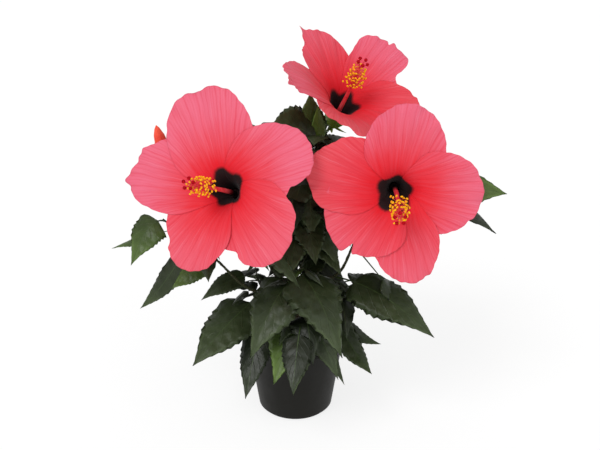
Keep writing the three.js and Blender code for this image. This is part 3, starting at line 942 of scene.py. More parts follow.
@dataclass(frozen=True)
class ColumnFinish:
    """A red column with painted shade at its root, where the throat shadows it, as its own map says."""

    red: tuple[float, ...] = paint(214, 36, 52)
    light: tuple[float, ...] = paint(228, 84, 88)
    deep: tuple[float, ...] = paint(30, 12, 14)

    def material(self) -> bpy.types.Material:
        """Lays out the finish's nodes.

        Returns:
            The material.
        """
        desk = Desk("column red")
        # The map's second value is how strong the painted shade of the throat is at each corner.
        _, depth = desk.chart()
        mottle = desk.noise(desk.place(), 160.0, 4.0, 0.6)
        colour = desk.blend(mottle.rise(0.32, 0.68), self.red, self.light)
        return desk.finish(
            Base_Color=desk.blend(depth.rise(0.15, 0.7), colour, self.deep),
            Roughness=0.35 + 0.3 * mottle,
            Specular_IOR_Level=0.3,
            Normal=desk.bump(mottle, 0.1),
        )


@dataclass(frozen=True)
class BarkFinish:
    """Young bark: grey brown below, greener above, with cracks along the limb and pale specks."""

    old: tuple[float, ...] = paint(96, 82, 62)
    young: tuple[float, ...] = paint(52, 56, 32)
    crack: tuple[float, ...] = paint(38, 32, 24)
    speck: tuple[float, ...] = paint(130, 120, 94)

    def material(self) -> bpy.types.Material:
        """Lays out the finish's nodes.

        Returns:
            The material.
        """
        desk = Desk("young bark")
        place = desk.place()
        height = desk.parts(place)[2]
        stretched = desk.node("ShaderNodeMapping", None, {"Vector": place, "Scale": (1.0, 1.0, 0.22)})
        cracks = desk.noise(stretched, 900.0, 4.0, 0.6)
        mottle = desk.noise(place, 160.0, 3.0)
        cells = desk.node("ShaderNodeTexVoronoi", {"feature": "F1"}, {"Vector": place, "Scale": 420.0})
        specks = (1.0 - cells.rise(0.12, 0.3)) * mottle.rise(0.45, 0.6, 0.7)
        colour = desk.blend((height * 1000.0 + mottle * 30.0).rise(118.0, 168.0), self.old, self.young)
        colour = desk.blend(1.0 - cracks.rise(0.36, 0.5), colour, self.crack)
        colour = desk.blend(specks, colour, self.speck)
        return desk.finish(
            Base_Color=colour,
            Roughness=0.72 + 0.2 * mottle,
            Specular_IOR_Level=0.25,
            Normal=desk.bump(cracks * 0.8 + mottle * 0.4, 0.5),
        )


@dataclass(frozen=True)
class PotFinish:
    """Black nursery plastic with fine turned lines, a soft shine and a little dust."""

    base: tuple[float, ...] = paint(15, 14, 9)
    dust: tuple[float, ...] = paint(40, 36, 27)

    def material(self) -> bpy.types.Material:
        """Lays out the finish's nodes.

        Returns:
            The material.
        """
        desk = Desk("pot plastic")
        place = desk.place()
        height = desk.parts(place)[2]
        mottle = desk.noise(place, 70.0, 4.0, 0.65)
        lines = (height * 5200.0).sine() * 0.5 + 0.5
        grain = desk.noise(place, 1500.0, 2.0)
        dust = (mottle * 0.9 + (height * 1000.0).rise(75.0, 90.0, 0.2)).rise(0.5, 0.95, 0.5)
        return desk.finish(
            Base_Color=desk.blend(dust, self.base, self.dust),
            Roughness=0.42 + 0.25 * mottle,
            Specular_IOR_Level=0.17,
            Normal=desk.bump(lines * 0.5 + grain * 0.5, 0.05),
        )


# Pot and soil


@dataclass
class Pot:
    """The plain tapered nursery pot with its stepped lip and its drain holes."""

    height: float = POT_HEIGHT
    base_radius: float = POT_BASE_RADIUS
    rim_radius: float = POT_RIM_RADIUS
    wall: float = POT_WALL
    sides: int = 128

    def profile(self) -> list[tuple[float, float]]:
        """The pot's rings, from the underside out, up and down the inside.

        Returns:
            Radius and height of each ring.
        """
        neck = self.rim_radius - LIP_STEP
        shelf = self.height - LIP_HEIGHT
        return [
            (self.base_radius, FOOT_BEVEL),
            (lerp(self.base_radius, neck, 0.5), lerp(FOOT_BEVEL, shelf, 0.5)),
            (neck - 0.3, shelf - 1.2),
            (neck, shelf),
            (self.rim_radius - 0.4, shelf + 0.1),
            (self.rim_radius, shelf + 0.6),
            (self.rim_radius, self.height - 0.9),
            (self.rim_radius - 0.5, self.height - 0.1),
            (self.rim_radius - 1.1, self.height),
            (self.rim_radius - self.wall - 0.3, self.height - 0.3),
            (self.rim_radius - self.wall - 0.6, self.height - 1.2),
            (neck - self.wall, shelf - 2),
            (self.base_radius - self.wall, FOOT_BEVEL + self.wall),
        ]

    def shell(self) -> bpy.types.Object:
        """Draws the pot up ring by ring from a disc.

        Returns:
            The pot without its drain holes.
        """
        radius = self.base_radius - FOOT_BEVEL
        bpy.ops.mesh.primitive_circle_add(vertices=self.sides, radius=radius * MM, fill_type="NGON")
        piece = fresh("pot_shell")
        level = 0.0
        with editing():
            for wide, high in self.profile():
                rise = (0.0, 0.0, (high - level) * MM)
                bpy.ops.mesh.extrude_region_move(TRANSFORM_OT_translate={"value": rise})
                grow = (wide / radius, wide / radius, 1.0)
                bpy.ops.transform.resize(value=grow, center_override=(0.0, 0.0, high * MM))
                radius, level = wide, high
            bpy.ops.mesh.inset(thickness=2.0 * MM)
            bpy.ops.mesh.select_all(action="SELECT")
            bpy.ops.mesh.normals_make_consistent(inside=False)
        return piece

    def drill(self, piece: bpy.types.Object) -> None:
        """Cuts the drain holes through the floor.

        Args:
            piece: the pot's shell.
        """
        for i in range(DRAIN_COUNT):
            spot = compass(360 * i / DRAIN_COUNT) * DRAIN_RING * MM
            bpy.ops.mesh.primitive_cylinder_add(
                vertices=24, radius=DRAIN_RADIUS * MM, depth=20 * MM, location=spot
            )
            cutter = fresh("drain_cutter")
            apply_modifier(piece, "BOOLEAN", operation="DIFFERENCE", solver="EXACT", object=cutter)
            bpy.data.objects.remove(cutter)

    def build(self, finish: bpy.types.Material) -> None:
        """Models and dresses the pot.

        Args:
            finish: its plastic.
        """
        piece = self.shell()
        self.drill(piece)
        smooth_shaded(piece, 35)
        dress(piece, [finish], ["pot"])


@dataclass
class Soil:
    """Potting soil with a crumbly crown, and loose bits of bark and grit on it."""

    sides: int = 96
    rings: int = 12
    crumbs: int = 620

    def wall_at(self, height: float) -> float:
        """The soil's radius at a height inside the pot."""
        share = (height - FOOT_BEVEL) / (POT_HEIGHT - LIP_HEIGHT - FOOT_BEVEL)
        return lerp(POT_BASE_RADIUS, POT_RIM_RADIUS - LIP_STEP, share) - POT_WALL - SEAT - 0.4

    def surface(self, x: np.ndarray, y: np.ndarray) -> np.ndarray:
        """The crumbly height of the soil's top.

        Args:
            x: places along X in millimetres.
            y: places along Y.

        Returns:
            The height at each place.
        """
        radius = np.hypot(x, y)
        crown = SOIL_TOP + SOIL_CROWN * (1 - smoothstep(14, 44, radius))
        lumps = np.sin(x * 0.61 + 1.3 * np.sin(y * 0.43)) * np.sin(y * 0.57 + 1.1 * np.sin(x * 0.37))
        grains = np.sin(x * 2.1 + y * 1.3) * np.sin(y * 2.4 - x * 0.9)
        return crown + (0.55 * lumps + 0.3 * grains) * smoothstep(9, 14, radius) - 0.4

    def body(self) -> bpy.types.Object:
        """Models a plug that fills the pot, with rings inset in its top for the crumbly crown.

        Returns:
            The plug.
        """
        bottom = FOOT_BEVEL + POT_WALL + SEAT
        wide = self.wall_at(SOIL_TOP - 3) - 0.4
        bpy.ops.mesh.primitive_cylinder_add(
            vertices=self.sides,
            radius=wide * MM,
            depth=(SOIL_TOP - bottom) * MM,
            location=(0, 0, (SOIL_TOP + bottom) / 2 * MM),
        )
        piece = fresh("soil_body")
        pick(piece, "polygons", lambda face: face.normal.z > 0.9)
        with editing(None):
            for _ in range(self.rings):
                bpy.ops.mesh.inset(thickness=wide / (self.rings + 1) * MM)
        points = corners_of(piece) / MM
        x, y, z = points.T
        low = z < bottom + 1
        shrink = np.where(low, (self.wall_at(bottom) - 1) / wide, 1.0)
        top = np.where(np.hypot(x, y) > wide - 1, SOIL_TOP - 3, self.surface(x, y))
        move_corners(piece, np.stack([x * shrink, y * shrink, np.where(low, z, top)], axis=1) * MM)
        return piece

    def litter(self) -> bpy.types.Object:
        """Models the bits of bark, fibre and pale grit that lie on the crown.

        Returns:
            All of them in one piece.
        """
        soup = Soup()
        for i in range(self.crumbs):
            out = 11 + 35 * chance(i + 0.3) ** 0.6
            spot = compass(GOLDEN_TURN * i) * out
            size = 0.5 + 1.5 * chance(i + 7.7) ** 2
            spot[2] = float(self.surface(spot[:1], spot[1:2])[0]) + size * 0.25
            grit = chance(i + 3.1) > 0.93
            shape = (size, size, size) if grit else (size * 1.7, size, size * 0.6)
            points, faces = knob(spot, shape, 6.28 * chance(i + 5), 0.7 * chance(i + 9))
            rough = np.sin(points * 3.1 + i) * 0.18 * size
            soup.add(points + rough, faces, 1 if grit else 0)
        return soup.mesh("soil_litter")

    def build(self, finish: bpy.types.Material, grit: bpy.types.Material) -> None:
        """Models and dresses the soil.

        Args:
            finish: dark crumbly soil.
            grit: pale bits.
        """
        body = self.body()
        smooth_shaded(body, 60)
        dress(body, [finish], ["soil"])
        dress(self.litter(), [finish, grit], ["soil"])


# Blooms


@dataclass(frozen=True)
class Mark:
    """A dent, bulge or curl of a petal's rim.

    angle runs from 0 at the anticlockwise side over 90 at the tip to 180 at the clockwise side.
    """

    angle: float
    size: float
    spread: float


@dataclass(frozen=True)
class Petal:
    """One petal: its direction, length and width, how far it leans open, and its rim.

    sides holds how far its anticlockwise and clockwise halves reach out sideways.
    """

    turn: float
    length: float
    width: float
    spread: float
    hue: Hue = Hue.PLAIN
    sides: tuple[float, float] = (1.0, 1.0)
    rim: tuple[Mark, ...] = ()
    curls: tuple[Mark, ...] = ()


def section(arc: np.ndarray, spread: np.ndarray | float) -> tuple[np.ndarray, np.ndarray, np.ndarray]:
    """The corolla's section.

    Args:
        arc: length along the petal from its root.
        spread: how far the petals stand open there, in degrees.

    Returns:
        Radius, height and lean in radians.
    """
    steps = 14

    def lean(a: np.ndarray) -> np.ndarray:
        """How far the petal leans out at an arc length."""
        opened = (spread - THROAT_LEAN) * smoothstep(12, 50, a)
        return np.radians(THROAT_LEAN + opened + 12 * smoothstep(60, 105, a))

    radius = np.full_like(arc, THROAT_RADIUS)
    height = np.zeros_like(arc)
    for i in range(steps):
        slope = lean((i + 0.5) / steps * arc)
        radius = radius + np.sin(slope) * arc / steps
        height = height + np.cos(slope) * arc / steps
    return radius, height, lean(arc)


@dataclass
class Bloom:
    """An open flower, modelled facing +Z and then turned to where it looks.

    bend is how far its column leans aside at the end, eye how far the dark eye lies off its
    middle, and shade how strong the painted shade is that darkens the column's root.
    """

    name: str
    centre: tuple[float, float, float]
    azimuth: float
    elevation: float
    bend: tuple[float, float] = (0.0, 0.0)
    petals: tuple[Petal, ...] = ()
    eye: tuple[float, float] = (0.0, 0.0)
    shade: float = 1.0
    columns: int = 56
    rows: int = 64
    stamens: int = 74
    stigmas: int = 5

    def carry(self, points: np.ndarray) -> np.ndarray:
        """Carries points of the flower to where it stands in the crown.

        Args:
            points: the points in the flower's own frame, one to a row.

        Returns:
            The points in the plant's frame.
        """
        heading = compass(self.azimuth)
        tilt = math.radians(self.elevation)
        axis = heading * math.cos(tilt) + UP * math.sin(tilt)
        right = unit(np.cross(UP, axis))
        basis = np.stack([right, np.cross(axis, right), axis])
        return points @ basis + np.array(self.centre)

    def spread_at(self, angle: np.ndarray) -> np.ndarray:
        """How far the petals stand open at an angle round the flower.

        Args:
            angle: the angle in radians.

        Returns:
            The opening in degrees.
        """
        shares = [np.exp(5 * np.cos(angle - math.radians(p.turn))) for p in self.petals]
        opened = sum(share * petal.spread for share, petal in zip(shares, self.petals))
        return opened / sum(shares)

    def middle_turn(self, index: int, arc: np.ndarray) -> np.ndarray:
        """The angle of a petal's middle line at an arc length."""
        root = self.petals[0].turn + FIFTH_TURN * index
        return np.radians(lerp(root, self.petals[index].turn, smoothstep(16, 50, arc)))

    def outline(self, index: int, t: np.ndarray, s: np.ndarray) -> tuple[np.ndarray, ...]:
        """Where a grid's corner falls on a flat petal.

        Args:
            index: which petal.
            t: from edge to edge, -1 to 1.
            s: from root to tip, 0 to 1.

        Returns:
            Arc length, sideways offset, nearness to the rim, and the angle round the blade.
        """
        petal = self.petals[index]
        outer = np.clip((s - BLADE_START) / (1 - BLADE_START), 0, 1)
        x = t * np.sqrt(1 - outer**2 / 2)
        y = outer * np.sqrt(1 - t**2 / 2)
        angle = np.degrees(np.arctan2(y, x))
        near = np.hypot(x, y)
        grow = np.zeros_like(x)
        for mark in petal.rim:
            grow += mark.size * np.exp(-(((angle - mark.angle) / mark.spread) ** 2))
        seed = 7 * index + len(self.name)
        swing = np.radians(angle)
        frill = 0.010 * np.sin(swing * 13 + seed) + 0.008 * np.sin(swing * 29 + 2 * seed)
        grow = grow + frill * smoothstep(0, 25, np.minimum(angle, 180 - angle))
        grow = grow * np.clip(near, 0, 1) ** 3
        ahead = np.where(s > BLADE_START, 1 + grow, 1.0)
        side = np.where(s > BLADE_START, 1 + grow * smoothstep(0.0, 0.3, y), 1.0)
        share = np.where(s > BLADE_START, BLADE_START + (1 - BLADE_START) * y * ahead, s)
        arc = share * PETAL_LENGTH * lerp(1.0, petal.length, smoothstep(0.25, 0.9, share))
        lower = np.clip(share / BLADE_START, 0, 1) ** 1.12
        wide = 0.1 + 0.875 * smoothstep(0, 1, lower)
        across = np.where(s > BLADE_START, x * side, t)
        reach = np.where(t > 0, petal.sides[0], petal.sides[1])
        across = across * lerp(1.0, reach, smoothstep(9, 34, arc))
        widen = lerp(1.0, petal.width, smoothstep(5, 40, arc))
        rimward = np.where(s > BLADE_START, np.clip(near, 0, 1), np.abs(t))
        return arc, across * PETAL_HALF_WIDTH * wide * widen, rimward, angle

    def relief(
        self, index: int, arc: np.ndarray, turn: np.ndarray, near: np.ndarray, angle: np.ndarray
    ) -> np.ndarray:
        """How far a petal's surface rises off the smooth corolla: pleats, frill and curls.

        Args:
            index: which petal.
            arc: length along it from its root.
            turn: the angle round the flower, in radians.
            near: nearness to the rim.
            angle: the angle round the blade, in degrees.

        Returns:
            The rise in millimetres.
        """
        petal = self.petals[index]
        seed = 2.4 * index + len(self.name)
        pleats = 0.14 * np.sin(turn * 37) + 0.08 * np.sin(turn * 71 + 1) + 0.45 * np.sin(turn * 17 + 2)
        pleats = pleats * smoothstep(26, 80, arc)
        free = smoothstep(18, 62, np.minimum(angle, 180 - angle))
        swing = np.radians(angle)
        frill = 1.5 * np.sin(swing * 9 + seed) + 0.8 * np.sin(swing * 21 + 3 * seed)
        lift = pleats + frill * near**7 * free
        for mark in petal.curls:
            window = np.exp(-(((angle - mark.angle) / mark.spread) ** 2))
            lift = lift + mark.size * window * near**5 * smoothstep(30, 60, arc)
        return lift

    def petal_place(self, index: int, t: np.ndarray, s: np.ndarray) -> np.ndarray:
        """Where a petal's corners stand.

        Args:
            index: which petal.
            t: from edge to edge, -1 to 1.
            s: from root to tip, 0 to 1.

        Returns:
            The points in the plant's frame.
        """
        arc, side, near, angle = self.outline(index, t, s)
        around = side / section(arc, self.petals[index].spread)[0]
        turn = self.middle_turn(index, arc) + around
        radius, height, lean = section(arc, self.spread_at(turn))
        wave = RUFFLE * np.sin(5 * turn) * smoothstep(45, 95, arc)
        off = wave + PETAL_LAYERS * around * smoothstep(1, 12, arc)
        off = off + self.relief(index, arc, turn, near, angle)
        out = radius - np.cos(lean) * off
        points = [out * np.cos(turn), out * np.sin(turn), height + np.sin(lean) * off]
        return self.carry(np.stack(points, axis=1))

    def petal_chart(self, index: int, t: np.ndarray, s: np.ndarray) -> np.ndarray:
        """A map that fans out from the petal's root, for its veins, its zones and the eye's lobes.

        Args:
            index: which petal.
            t: from edge to edge, -1 to 1.
            s: from root to tip, 0 to 1.

        Returns:
            Each corner's place on the map.
        """
        arc, side, _, _ = self.outline(index, t, s)
        fan = np.degrees(np.arctan2(side, arc + 8.0)) / 80 + 0.5
        turn = self.middle_turn(index, arc) + side / section(arc, self.petals[index].spread)[0]
        shift = self.eye[0] * np.cos(turn) + self.eye[1] * np.sin(turn)
        shift = shift + EYE_LOBES * np.cos(5 * (turn - np.radians(self.petals[0].turn)))
        along = arc - shift * np.exp(-(((arc - 30) / 12) ** 2))
        return np.stack([fan, along / PETAL_LENGTH], axis=1)

    def build_petals(self, finishes: dict[Hue, list[bpy.types.Material]]) -> None:
        """Models and dresses the five petals.

        Args:
            finishes: front and back materials by hue.
        """
        for i, petal in enumerate(self.petals):
            piece = formed_sheet(
                f"petal_{self.name}_{i + 1}",
                self.columns,
                self.rows,
                lambda t, s, i=i: self.petal_place(i, t, s),
                lambda t, s, i=i: self.petal_chart(i, t, s),
            )
            for finish in finishes[petal.hue]:
                piece.data.materials.append(finish)
            apply_modifier(
                piece, "SOLIDIFY", thickness=PETAL_SHEET * MM, offset=0.0, material_offset=1
            )
            smooth_shaded(piece)
            dress(piece, finishes[petal.hue], [f"bloom_{self.name}_petal_{i + 1}"])

    def column_curve(self) -> Curve:
        """The column's middle line.

        Returns:
            The line in the flower's own frame.
        """
        shares = (0, 0.35, 0.7, 1)
        points = [(self.bend[0] * a**2, self.bend[1] * a**2, COLUMN_LENGTH * a - 0.1) for a in shares]
        return Curve(points)

    def build_column(
        self,
        style: bpy.types.Material,
        throat: bpy.types.Material,
        pollen: bpy.types.Material,
        pad: bpy.types.Material,
    ) -> None:
        """Models the column with its filaments, its anthers and its five stigma pads.

        Args:
            style: red column and filaments, with painted shade at the column's root.
            throat: near-black floor of the throat.
            pollen: golden anthers.
            pad: dark red velvet.
        """
        curve = self.column_curve()
        stem = Soup()
        seat = np.array([[0, 0, -0.1], [0, 0, 1.0], [0, 0, 2.4]], float)
        points, faces = tube(seat, [4.4, 4.9, 2.8], 20)
        stem.add(self.carry(points), faces, 1)
        sides = 14
        shares = np.linspace(0, COLUMN_END, 30)
        path = np.array([curve.at(share) for share in shares])
        radii = ramp([2.5, 2.2, 1.9, 1.6, 1.0], shares / COLUMN_END)
        points, faces = tube(path, radii, sides)
        # Painted shade: the column darkens towards its root, where the throat shadows it, and its map
        # carries how strong.
        heights = np.append(np.repeat(shares, sides), [0.0, 1.0])
        depth = self.shade * np.clip(1 - heights / COLUMN_SHADE, 0, 1)
        stem.add(self.carry(points), faces, 0, np.stack([depth, depth], axis=1))
        anthers = Soup()
        for i in range(self.stamens):
            share = STAMEN_START + STAMEN_SPAN * (i / self.stamens)
            turn = math.radians(GOLDEN_TURN * i)
            rise = 0.1 + 0.6 * chance(i + 11)
            way = unit(np.array([math.cos(turn), math.sin(turn), rise]))
            reach = 5.6 + 4.4 * chance(i)
            root = curve.at(share)
            sag = np.array([0.0, 0.0, 0.7])
            line = np.array([root, root + way * reach * 0.55 + sag, root + way * reach + 1.6 * sag])
            points, faces = tube(line, 0.19, 5)
            stem.add(self.carry(points), faces)
            shape = (0.95, 1.4, 1.0)
            points, faces = knob(line[-1], shape, turn + 0.8 * chance(i + 31), 0.6 * chance(i + 21))
            anthers.add(self.carry(points), faces)
        pads = Soup()
        for i in range(self.stigmas):
            way = unit(compass(FIFTH_TURN * i + 20, 1.9))
            root = curve.at(STIGMA_START)
            line = np.array([root + way * reach for reach in (0.0, 4.0, 8.0, 10.4)])
            points, faces = tube(line, [0.42, 0.4, 0.45, 0.6], 8)
            stem.add(self.carry(points), faces)
            points, faces = knob(line[-1], (1.75, 1.75, 1.35), 1.2 * i, 0.4)
            pads.add(self.carry(points), faces)
            for k in range(26):
                dot = unit(compass(GOLDEN_TURN * k, 2.2 * (chance(k + i) - 0.3)))
                points, faces = knob(line[-1] + dot * 1.6, (0.32, 0.32, 0.32), 0.0, 0.0)
                pads.add(self.carry(points), faces)
        node = [f"bloom_{self.name}_column"]
        dress(stem.mesh(f"column_{self.name}"), [style, throat], node)
        dress(anthers.mesh(f"anthers_{self.name}"), [pollen], node)
        dress(pads.mesh(f"stigmas_{self.name}"), [pad], node)

    def sepal_place(self, t: np.ndarray, s: np.ndarray) -> np.ndarray:
        """Where the calyx's corners stand.

        Args:
            t: once round the calyx, -1 to 1.
            s: from its foot to the tips of its lobes, 0 to 1.

        Returns:
            The points in the plant's frame.
        """
        turn = math.pi * t
        lobe = np.abs(((turn / math.radians(FIFTH_TURN)) % 1 + 1.5) % 1 - 0.5) * 2
        rim = lerp(SEPAL_LENGTH, SEPAL_NOTCH, lobe**0.8)
        angle = turn + math.radians(self.petals[0].turn + FIFTH_TURN / 2)
        cup = np.clip(s / CUP_SHARE, 0, 1)
        arc = np.clip((s - CUP_SHARE) / (1 - CUP_SHARE), 0, 1) * rim
        radius, height, lean = section(arc, self.spread_at(angle) + 2)
        off = SEPAL_CLEAR + 0.6 - 0.5 * arc / SEPAL_LENGTH
        ridge = 0.35 * np.cos(5 * turn) * (1 - arc / SEPAL_LENGTH)
        out = radius + np.cos(lean) * off + ridge
        up = height - np.sin(lean) * off
        foot_out = ramp([2.3, 4.6, 6.8, CUP_RADIUS], cup)
        foot_up = ramp([-CUP_DEPTH, -5.2, -3.6, CUP_RIM], cup)
        low = s < CUP_SHARE
        blend = smoothstep(CUP_SHARE, 0.4, s)
        out = np.where(low, foot_out, lerp(CUP_RADIUS, out, blend))
        up = np.where(low, foot_up, lerp(CUP_RIM, up, blend))
        return self.carry(np.stack([out * np.cos(angle), out * np.sin(angle), up], axis=1))

    def build_calyx(self, finish: bpy.types.Material) -> None:
        """Models the green cup with its five pointed lobes and the narrow bracts under it.

        Args:
            finish: fresh green.
        """
        node = [f"bloom_{self.name}_calyx"]
        cup = formed_sheet(f"calyx_{self.name}", 100, 18, self.sepal_place)
        join_seams(cup)
        apply_modifier(cup, "SOLIDIFY", thickness=0.5 * MM, offset=0.0)
        join_seams(cup, outward=True)
        smooth_shaded(cup)
        dress(cup, [finish], node)
        soup = Soup()
        foot = np.array([[0, 0, -CUP_DEPTH - 0.2], [0, 0, -CUP_DEPTH + 2.0]], float)
        points, faces = tube(foot, [2.4, 4.0], 20)
        soup.add(self.carry(points), faces)
        bracts, rows = 7, 9
        for i in range(bracts):
            heading = 360 * (i + 0.5) / bracts
            way = compass(heading)
            side = compass(heading + 90)
            shares = np.linspace(0, 1, rows)
            middle = (3.4 + 15 * shares)[:, None] * way + (-4.6 + 6 * shares**1.6)[:, None] * UP
            half = ramp([1.3, 2.0, 1.7, 1.0, 0.1], shares)[:, None]
            lines = [middle + side * half * k + UP * 0.25 * (1 - k * k) for k in (-1, 0, 1)]
            top = np.stack(lines, axis=1)
            low = top - UP * np.array([0.0, 0.6, 0.0])[None, :, None]
            points = np.concatenate([top.reshape(-1, 3), low.reshape(-1, 3)])
            faces = grid_faces(rows, len(lines))
            under = faces[:, ::-1] + rows * len(lines)
            soup.add(self.carry(points), np.concatenate([faces, under]))
        dress(soup.mesh(f"bracts_{self.name}"), [finish], node)


BLOOMS = (
    Bloom(
        "left", (-55, -45, 261), 250, 28, (-15, -3),
        (
            Petal(
                114, 1.07, 1.16, 84, Hue.COOL, (0.93, 0.97),
                (Mark(52, 0.16, 22), Mark(92, -0.03, 6), Mark(120, 0.05, 20)),
            ),
            Petal(
                175, 1.06, 1.0, 84, Hue.COOL, (0.87, 0.93),
                (Mark(72, 0.15, 7), Mark(99, -0.16, 13), Mark(135, -0.08, 20), Mark(44, 0.09, 20)),
            ),
            Petal(
                248, 0.93, 0.84, 84, Hue.PLAIN, (0.98, 1.1),
                (Mark(132, -0.24, 24), Mark(48, 0.05, 14)), (Mark(0, 1.4, 40),),
            ),
            Petal(
                321, 0.96, 1.08, 84, Hue.PLAIN, (1.02, 0.84),
                (Mark(164, -0.22, 16), Mark(35, 0.05, 16), Mark(60, -0.04, 5), Mark(78, -0.03, 4)),
            ),
            Petal(
                392, 1.02, 1.06, 84, Hue.COOL, (1.0, 0.9),
                (Mark(138, -0.08, 8), Mark(156, -0.26, 15), Mark(70, 0.03, 12)),
            ),
        ),
        (-0.5, 4.5),
    ),
    Bloom(
        "right", (93, -41, 266), 271, 14, (-4, -19),
        (
            Petal(82, 0.92, 1.0, 84, Hue.COOL, (0.97, 1.0), (Mark(62, -0.03, 8),)),
            Petal(
                160, 0.965, 0.95, 84, Hue.WARM, (0.96, 0.98),
                (Mark(75, 0.03, 14), Mark(32, 0.14, 18), Mark(125, -0.1, 20)),
            ),
            Petal(
                225, 0.86, 1.12, 84, Hue.PLAIN, (0.9, 1.2),
                (Mark(81, -0.5, 4), Mark(66, -0.16, 10), Mark(45, -0.1, 16), Mark(148, 0.15, 20)),
                (Mark(10, 1.5, 30),),
            ),
            Petal(281, 0.97, 0.82, 84, Hue.PLAIN, (0.91, 1.0), (Mark(42, -0.05, 20),), (Mark(0, 1.3, 40),)),
            Petal(
                357, 0.89, 1.06, 84, Hue.COOL, (1.0, 0.92),
                (Mark(45, 0.05, 16), Mark(108, -0.04, 6), Mark(128, -0.04, 6)),
            ),
        ),
        (-4.0, -4.4),
    ),
    Bloom(
        "top", (38, 34, 306), 306, 55, (0, 5),
        (
            Petal(
                107, 0.92, 0.76, 62, Hue.PLAIN, (0.66, 1.14),
                (Mark(88, 0.2, 5), Mark(58, -0.28, 20), Mark(108, -0.06, 10)), (Mark(88, 3.0, 8),),
            ),
            Petal(
                177, 1.13, 0.58, 52, Hue.PLAIN, (0.52, 1.35), (Mark(60, -0.06, 12),), (Mark(90, 4.0, 25),),
            ),
            Petal(245, 0.95, 0.9, 57, Hue.WARM, (1.0, 1.3), (Mark(150, 0.14, 20),)),
            Petal(311, 0.87, 0.98, 62, Hue.WARM, (0.96, 1.0), (Mark(38, 0.07, 18), Mark(60, 0.03, 8))),
            Petal(
                386, 0.96, 1.06, 62, Hue.COOL, (0.62, 0.95),
                (
                    Mark(36, 0.26, 18), Mark(84, -0.12, 5), Mark(98, -0.06, 10),
                    Mark(118, 0.07, 10), Mark(154, -0.42, 18),
                ),
            ),
        ),
        shade=0.25,
    ),
)


@dataclass
class Bud(Bloom):
    """A closed bud: five petals rolled in a slim spindle above a ribbed cup."""

    def roll_place(self, t: np.ndarray, s: np.ndarray) -> np.ndarray:
        """Where the rolled petals' corners stand.

        Args:
            t: once round the spindle, -1 to 1.
            s: from its foot to its tip, 0 to 1.

        Returns:
            The points in the plant's frame.
        """
        turn = math.pi * t
        places = [0, 0.18, 0.4, 0.58, 0.78, 0.92, 1]
        wide = np.interp(s, places, [0.5, 0.74, 0.94, 1.0, 0.78, 0.4, 0.0]) * BUD_RADIUS
        roll = ((turn + 2.6 * s) / math.radians(FIFTH_TURN)) % 1
        wide = wide * (0.9 + 0.1 * roll) * np.where(s > 0.999, 0.0, 1.0)
        return self.carry(np.stack([wide * np.cos(turn), wide * np.sin(turn), s * BUD_LENGTH], axis=1))

    def cup_place(self, t: np.ndarray, s: np.ndarray) -> np.ndarray:
        """Where the corners of the bud's cup stand.

        Args:
            t: once round the cup, -1 to 1.
            s: up its outside and down its inside, 0 to 1.

        Returns:
            The points in the plant's frame.
        """
        turn = math.pi * t
        reach = 19 + 6 * np.maximum(0, np.cos(5 * turn)) ** 2 - 3
        heights = [-CUP_DEPTH, -4.5, -2, 4, 12, 19, 19, 12, 4, -SEAT]
        radii = [1.8, 3.4, 5, 6.6, 7.5, 7.1, 6.9, 6.85, 5.6, 2.0]
        height = ramp(heights, s)
        radius = ramp(radii, s) + 0.25 * np.cos(10 * turn) * (s < 0.55)
        height = np.where(height > 4, 4 + (height - 4) * (reach - 4) / 15, height)
        return self.carry(np.stack([radius * np.cos(turn), radius * np.sin(turn), height], axis=1))

    def build(self, petal: bpy.types.Material, finish: bpy.types.Material) -> None:
        """Models and dresses the bud.

        Args:
            petal: rolled coral petals.
            finish: fresh green.
        """
        rolled = formed_sheet("bud_petals", 80, 44, self.roll_place)
        join_seams(rolled, outward=True)
        smooth_shaded(rolled)
        dress(rolled, [petal], ["bud"])
        cup = formed_sheet("bud_cup", 60, 36, self.cup_place)
        join_seams(cup, outward=True)
        smooth_shaded(cup)
        dress(cup, [finish], ["bud_calyx"])


BUD = Bud("bud", (-122, -12, 274), 175, 78)


# Shoots: the source's tables and rule, carried to finer twigs


@dataclass(frozen=True)
class Posed:
    """A leaf that the photograph shows, by where it leaves its stem or bough and by its tip."""

    start: float
    heading: float
    reach: float
    height: float
    arch: float
    width: float
    petiole: float = 0.22
    roll: float = 0.0
    tint: Tint = Tint.DARK
    on_bough: bool = False


@dataclass(frozen=True)
class Shoot:
    """A bough and the mass of leaves that it carries."""

    name: str
    bough: tuple[tuple[float, float, float], ...]
    stem: tuple[tuple[float, float, float], ...]
    leaves: tuple[Posed, ...]
    twigs: int
    more: int
    length: float


